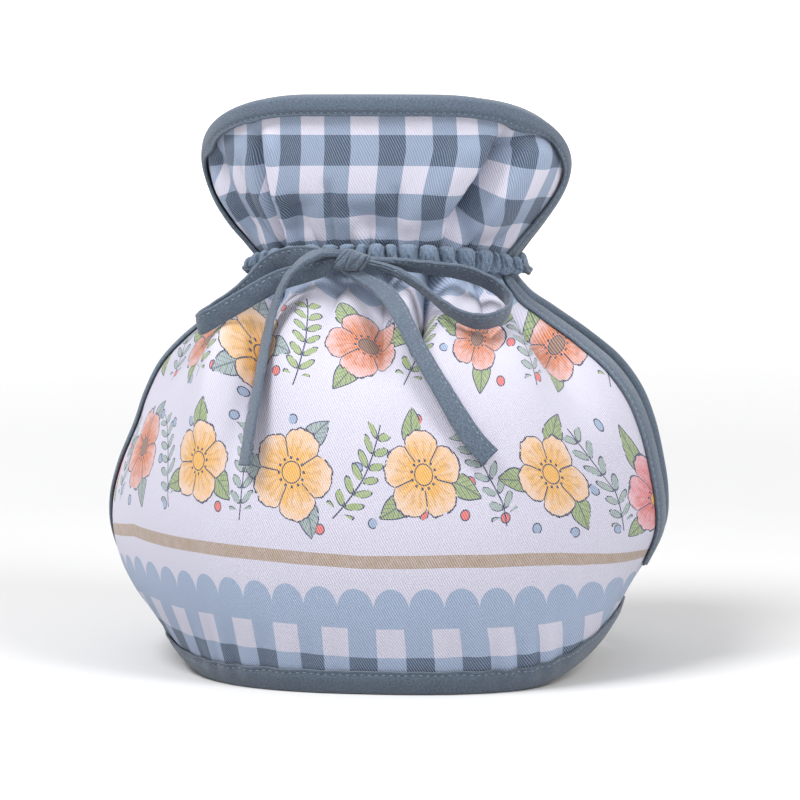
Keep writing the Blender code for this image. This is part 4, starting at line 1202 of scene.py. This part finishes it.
# ---- plain finishes
TRIM_DARK = 0.66          # share of the trim's colour in its darkest yarns
TRIM_WORN = (1.42, 0.02)  # and in its palest, with a little white
# The hem's copy of the binding cloth, at this share of its brightness: painted shade, the same cloth
# darkened as if in shadow.
HEM_PAINTED_SHADE = 0.80
# The casing's copy of the binding cloth, at this share of its brightness: painted light, the same cloth
# brightened against the shade under the frill.
CASING_PAINTED_LIGHT = 1.80
LINING_PITCH = 0.0007
BIAS_PITCH = 0.00078
THREAD_PALE = 1.25


def lining_cotton(name, colour):
    """Plain unbleached cotton, for the inside."""
    finish, tree, surface = new_finish(name)
    place, u, v = tree.flat()
    yarns = tree.noise(place, 0.0006, 2.0)
    weave = tree.wave(u, LINING_PITCH) * tree.wave(v, LINING_PITCH)
    tree.fill(surface, {"Base Color": tree.mix(yarns, opaque(colour), opaque(colour, 0.86))})
    bump(tree, surface, weave * 0.5 + yarns, 0.00010)
    return finish


def trim_cotton(name, colour):
    """Dyed cotton cut on the bias, for the binding, the casing and the tie."""
    finish, tree, surface = new_finish(name, 0.8, 0.25)
    place, u, v = tree.flat()
    yarns = tree.noise(place, 0.00065, 2.0, 0.6)
    weave = tree.wave(u + v, BIAS_PITCH) * tree.wave(u - v, BIAS_PITCH)
    dark, light = opaque(colour, TRIM_DARK), opaque(colour, *TRIM_WORN)
    tone = tree.mix(tree.noise(place, 0.006, 3.0), dark, light)
    heather = tree.mix((yarns - 0.5) * 3.0 + 0.5 + weave * 0.26, dark, light)
    tree.fill(surface, {"Base Color": tree.mix(0.75, tone, heather), "Roughness": 0.74 + 0.16 * yarns})
    bump(tree, surface, weave * 0.5 + yarns * 0.8, WEAVE_DEEP)
    return finish


def thread_cotton(name, colour):
    """Sewing thread, paler than the binding."""
    finish, tree, surface = new_finish(name, 0.65, 0.1)
    strands = tree.noise(tree.position(), 0.0004, 1.0)
    tree.fill(surface, {"Base Color": tree.mix(strands, opaque(colour), opaque(colour, THREAD_PALE))})
    bump(tree, surface, strands, 0.00005)
    return finish


def finish_named(name, make, values):
    """A finish made the first time it is asked for."""
    return bpy.data.materials.get(name) or make(name, values)


def trim_finish(scene, name="trim_cotton", shade=1.0):
    """Binding cloth, at a share of its brightness; a share above one is painted light, as on the casing,
    and a share below one is painted shade, as on the hem.
    """
    return finish_named(name, trim_cotton, [shade * channel for channel in scene.tea_cosy_trim.colour])


def thread_finish(scene):
    """The stitches' thread."""
    return finish_named("sewing_thread", thread_cotton, scene.tea_cosy_trim.thread)


# ---- settings


def colour_choice(name, description, default):
    """A colour that a user can change."""
    return bpy.props.FloatVectorProperty(name=name, description=description, default=default, size=3,
                                         min=0.0, max=1.0, subtype="COLOR")


def number(name, description, default, low, high, kind=bpy.props.FloatProperty, **units):
    """A number that a user can change."""
    return kind(name=name, description=description, default=default, min=low, max=high, **units)


def settings_of(group):
    """Names of the settings in a group."""
    return [name for name in group.bl_rna.properties.keys() if name not in ("rna_type", "name")]


class TEACOSY_PG_print(bpy.types.PropertyGroup):
    """Colours of the printed cotton."""

    ground: colour_choice("Ground", "Unprinted cotton in the frill", (0.615, 0.600, 0.700))
    # Body ground is a darker copy of the frill's ground: painted shade on the whites below the frill.
    body: colour_choice("Body ground", "Unprinted cotton below the frill", (0.485, 0.472, 0.556))
    light: colour_choice("Light check", "Single layer of the checks, and the scallops",
                         (0.235, 0.305, 0.425))
    dark: colour_choice("Dark check", "Where the checks cross", (0.040, 0.077, 0.130))
    stripe: colour_choice("Stripe", "Plain stripe above the scallops", (0.255, 0.163, 0.066))
    orange: colour_choice("Orange petals", "First petal colour", (0.500, 0.140, 0.025))
    gold: colour_choice("Golden petals", "Second petal colour", (0.640, 0.330, 0.040))
    coral: colour_choice("Coral petals", "Third petal colour, and the berries", (0.560, 0.110, 0.090))
    leaf: colour_choice("Leaf green", "Leaves", (0.165, 0.240, 0.050))
    pale_leaf: colour_choice("Pale leaf", "Where the leaf colour runs thin", (0.380, 0.440, 0.260))
    grey_leaf: colour_choice("Grey leaf", "Blue-grey leaves", (0.180, 0.240, 0.300))
    heart: colour_choice("Flower heart", "Middle of the golden flowers", (0.180, 0.095, 0.050))
    ink: colour_choice("Ink", "Drawn lines", (0.020, 0.028, 0.062))


class TEACOSY_PG_trim(bpy.types.PropertyGroup):
    """Colours and gathers of the trim."""

    colour: colour_choice("Trim", "Binding, casing and tie", (0.071, 0.098, 0.138))
    thread: colour_choice("Thread", "Stitches", (0.160, 0.200, 0.245))
    lining: colour_choice("Lining", "Cotton inside the cosy", (0.620, 0.605, 0.580))
    front_ruches: number("Front ruches", "Gathers of the front casing", 19, 6, 30, bpy.props.IntProperty)
    back_ruches: number("Back ruches", "Gathers of the back casing", 17, 6, 30, bpy.props.IntProperty)


class TEACOSY_PG_stage(bpy.types.PropertyGroup):
    """Camera, floor and lights."""

    distance: number("Distance", "From the camera to the middle of the cosy", 1.1, 0.5, 4.0,
                     subtype="DISTANCE", unit="LENGTH")
    turn: number("Turn", "How far round to the handle side the camera stands", math.radians(7.0),
                 -math.pi, math.pi, subtype="ANGLE", unit="ROTATION")
    lens: number("Lens", "Focal length in millimetres", 150.0, 35.0, 300.0)
    floor: colour_choice("Floor", "Plain pale floor", (0.600, 0.600, 0.605))
    floor_edge: colour_choice("Floor edge", "The same floor away from the lights", (0.970, 0.970, 0.972))
    surround: number("Surround light", "Strength of the even white light", 0.66, 0.0, 3.0)
    key: number("Main light", "Power of the large soft light", 20.0, 0.0, 200.0,
                subtype="POWER", unit="POWER")


# ---- operators
CAMERA_HEIGHT = 0.200
CAMERA_AIM = (0.0023, 0.0, 0.0856)
FLOOR_SIDES = 96
FLOOR_RINGS = ((0.6, 0.0), (2.0, 0.0), (5.0, 0.0), (6.0, 0.15), (6.8, 0.60), (7.3, 1.4), (7.5, 2.6))
FLOOR_NEAR = 0.40
FLOOR_BLEND = 1.60
GLOW_START = 0.60
GLOW_BLEND = 3.0
GLOW = (0.6, 0.6, 0.6, 1.0)
LIGHTS = (
    ("main_light", (-0.80, -0.85, 1.70), 0.8, 2.05),
    ("side_light", (1.20, -0.90, 1.30), 0.8, 1.12),
)


def aimed(context, name, data, place):
    """Object of a camera or light at a place, turned to the cosy."""
    thing = bpy.data.objects.new(name, data)
    context.scene.collection.objects.link(thing)
    thing.location = place
    thing.rotation_euler = (Vector(CAMERA_AIM) - Vector(place)).to_track_quat("-Z", "Y").to_euler()
    return thing


class TEACOSY_OT_stage(bpy.types.Operator):
    """Add the camera, the pale floor and the soft studio lights."""

    bl_idname = "tea_cosy.stage"
    bl_label = "Stage"

    def execute(self, context):
        stage = context.scene.tea_cosy_stage
        self.add_camera(context, stage)
        self.add_floor(stage)
        self.add_lights(context, stage)
        return {"FINISHED"}

    def add_camera(self, context, stage):
        """Long lens, a little above the cosy and a little round to its handle."""
        camera = bpy.data.cameras.new("camera")
        camera.lens = stage.lens
        camera.sensor_width = 36
        camera.clip_start = 0.01
        across, back = stage.distance * math.sin(stage.turn), stage.distance * math.cos(stage.turn)
        context.scene.camera = aimed(context, "camera", camera, (across, -back, CAMERA_HEIGHT))

    def add_floor(self, stage):
        """A large round floor that sweeps up far away, where its back glows like a lit backdrop."""
        turns = np.linspace(0, 2 * math.pi, FLOOR_SIDES + 1)[:-1]
        points = [(radius * math.cos(turn), radius * math.sin(turn), height)
                  for radius, height in FLOOR_RINGS for turn in turns]
        faces = [range(FLOOR_SIDES), *ring_faces(len(FLOOR_RINGS), FLOOR_SIDES)]
        finish, tree, surface = new_finish("floor_matte", 0.9)
        place = tree.position()
        away = tree.add("ShaderNodeVectorMath", {"operation": "LENGTH"}, {0: place}, ("Value",))
        behind = tree.add("ShaderNodeSeparateXYZ", None, {"Vector": place}, ("Y",))
        near = tree.mix(tree.noise(place, 0.4, 2.0), opaque(stage.floor), opaque(stage.floor, 0.985))
        far = ((away - FLOOR_NEAR) / FLOOR_BLEND).clamped()
        glow = ((behind - GLOW_START) / GLOW_BLEND).clamped()
        tree.fill(surface, {"Base Color": tree.mix(far, near, opaque(stage.floor_edge)),
                            "Emission Color": tree.mix(glow, (0.0, 0.0, 0.0, 1.0), GLOW),
                            "Emission Strength": 1.0})
        new_object("floor", points, faces, [finish])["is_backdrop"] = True

    def add_lights(self, context, stage):
        """Two large soft lights above, at the front left and right, and even white light all round."""
        world = bpy.data.worlds.new("surround")
        world.use_nodes = True
        back = world.node_tree.nodes["Background"]
        back.inputs["Color"].default_value = (1.0, 1.0, 1.0, 1.0)
        back.inputs["Strength"].default_value = stage.surround
        context.scene.world = world
        for name, place, size, share in LIGHTS:
            light = bpy.data.lights.new(name, "AREA")
            light.shape = "DISK"
            light.size = size
            light.energy = stage.key * share
            aimed(context, name, light, place)
        context.scene.view_settings.view_transform = "Standard"


class TEACOSY_OT_bow(bpy.types.Operator):
    """Add the tape bow: its loops, tails and knot, and the tie across the slits."""

    bl_idname = "tea_cosy.bow"
    bl_label = "Bow"

    def execute(self, context):
        finish, thread = trim_finish(context.scene), thread_finish(context.scene)
        for name, stops, node, tail in TAPES:
            piece, line = add_tape(name, stops, finish, thread)
            take_place(piece, node)
            length = float(lengths_along(line, 0)[-1])
            tuple(line[0])
            [tuple(point) for point in line[::6]]
        take_place(add_knot(finish), "bow_knot")
        take_place(add_crossing("tie_across_spout", SPOUT, finish), "drawstring_spout")
        take_place(add_crossing("tie_across_handle", HANDLE, finish), "drawstring_handle")
        return {"FINISHED"}


class TEACOSY_OT_panels(bpy.types.Operator):
    """Add the two printed panels with their lining."""

    bl_idname = "tea_cosy.panels"
    bl_label = "Panels"

    def execute(self, context):
        scene = context.scene
        finishes = [finish_named("printed_cotton_twill", printed_cotton, scene.tea_cosy_print),
                    finish_named("lining_cotton", lining_cotton, scene.tea_cosy_trim.lining)]
        across, up = panel_places()
        rows, columns = across.shape
        count = rows * columns
        numbers = np.arange(count).reshape(rows, columns)
        edge = np.concatenate((numbers[0], numbers[1:, -1], numbers[-1, :-1][::-1], numbers[1:-1, 0][::-1]))
        after = np.roll(edge, -1)
        skin = grid_faces(rows, columns)
        rim = np.stack((after, edge, edge + count, after + count), axis=-1)
        u, v = printed_places(across, up)
        shares = np.stack(np.meshgrid(np.linspace(0, 1, columns), np.linspace(0, 1, rows)), axis=-1)
        bake = np.concatenate((shares * (1, 1 - LINING_SHARE - BAKE_GAP),
                               shares * (1, LINING_SHARE) + (0, 1 - LINING_SHARE)))
        for name, face, node, turn in (("panel_front", FRONT, "front_panel", 1),
                                       ("panel_back", BACK, "back_panel", -1)):
            sides = [cloth(face, across, up, out) for out in (CLOTH / 2, -CLOTH / 2)]
            outer = skin[:, ::turn]
            faces = np.concatenate((outer, outer[:, ::-1] + count, rim[:, ::turn]))
            piece = new_piece(name, np.concatenate(sides), faces, finishes, bake=bake,
                              flat=np.concatenate([np.stack((u * turn, v), axis=-1)] * 2),
                              finish_of=np.repeat((0, 1, 0), (len(skin), len(skin), len(rim))))
            take_place(piece, node)
        return {"FINISHED"}


class TEACOSY_OT_bindings(bpy.types.Operator):
    """Add the folded strips over the frill, slit and hem edges, with their stitches."""

    bl_idname = "tea_cosy.bindings"
    bl_label = "Bindings"

    def execute(self, context):
        finish, thread = trim_finish(context.scene), thread_finish(context.scene)
        take_place(add_binding("edge_strip_front", FRONT, finish, thread), "front_binding")
        take_place(add_binding("edge_strip_back", BACK, finish, thread), "back_binding")
        # The hem takes a darker copy of the binding cloth, as painted shade.
        take_place(add_hem(trim_finish(context.scene, "hem_cotton", HEM_PAINTED_SHADE), thread), "hem_binding")
        return {"FINISHED"}


class TEACOSY_OT_casings(bpy.types.Operator):
    """Add the two ruched drawstring casings round the neck."""

    bl_idname = "tea_cosy.casings"
    bl_label = "Casings"

    def execute(self, context):
        trim = context.scene.tea_cosy_trim
        # The casings take a brighter copy of the binding cloth, as painted light.
        finish = trim_finish(context.scene, "casing_cotton", CASING_PAINTED_LIGHT)
        take_place(add_casing("ruched_casing_front", FRONT, trim.front_ruches, finish), "casing_front")
        take_place(add_casing("ruched_casing_back", BACK, trim.back_ruches, finish), "casing_back")
        return {"FINISHED"}


class TEACOSY_PT_pieces(bpy.types.Panel):
    """Lists the cosy's pieces and settings in the sidebar."""

    bl_label = "Tea cosy"
    bl_idname = "TEACOSY_PT_pieces"
    bl_space_type = "VIEW_3D"
    bl_region_type = "UI"
    bl_category = "Tea cosy"

    def draw(self, context):
        for operator in OPERATORS:
            self.layout.operator(operator.bl_idname)
        for group in SETTINGS:
            settings = getattr(context.scene, group)
            box = self.layout.box()
            for name in settings_of(settings):
                box.prop(settings, name)


SETTINGS = {"tea_cosy_stage": TEACOSY_PG_stage, "tea_cosy_trim": TEACOSY_PG_trim,
            "tea_cosy_print": TEACOSY_PG_print}
OPERATORS = (TEACOSY_OT_stage, TEACOSY_OT_bow, TEACOSY_OT_panels, TEACOSY_OT_bindings, TEACOSY_OT_casings)
CLASSES = (*SETTINGS.values(), *OPERATORS, TEACOSY_PT_pieces)


def register():
    """Add the classes and the scene's settings."""
    # Hide the solid that a piece is made in place of; the piece is not used.
    for made in CLASSES:
        bpy.utils.register_class(made)
    for name, group in SETTINGS.items():
        setattr(bpy.types.Scene, name, bpy.props.PointerProperty(type=group))


def unregister():
    """Take the settings and classes away again."""
    for name in SETTINGS:
        delattr(bpy.types.Scene, name)
    for made in reversed(CLASSES):
        bpy.utils.unregister_class(made)


def plain(box):
    """A box as plain lists of numbers."""
    return [[float(number) for number in corner] for corner in box]


def main():
    """Make every piece, measuring the size before and after."""
    cad = plain(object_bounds())
    register()
    for operator in OPERATORS:
        group, name = operator.bl_idname.split(".")
        getattr(getattr(bpy.ops, group), name)()
    {"cad": cad, "visual": plain(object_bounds())}


if __name__ == "__main__":
    main()
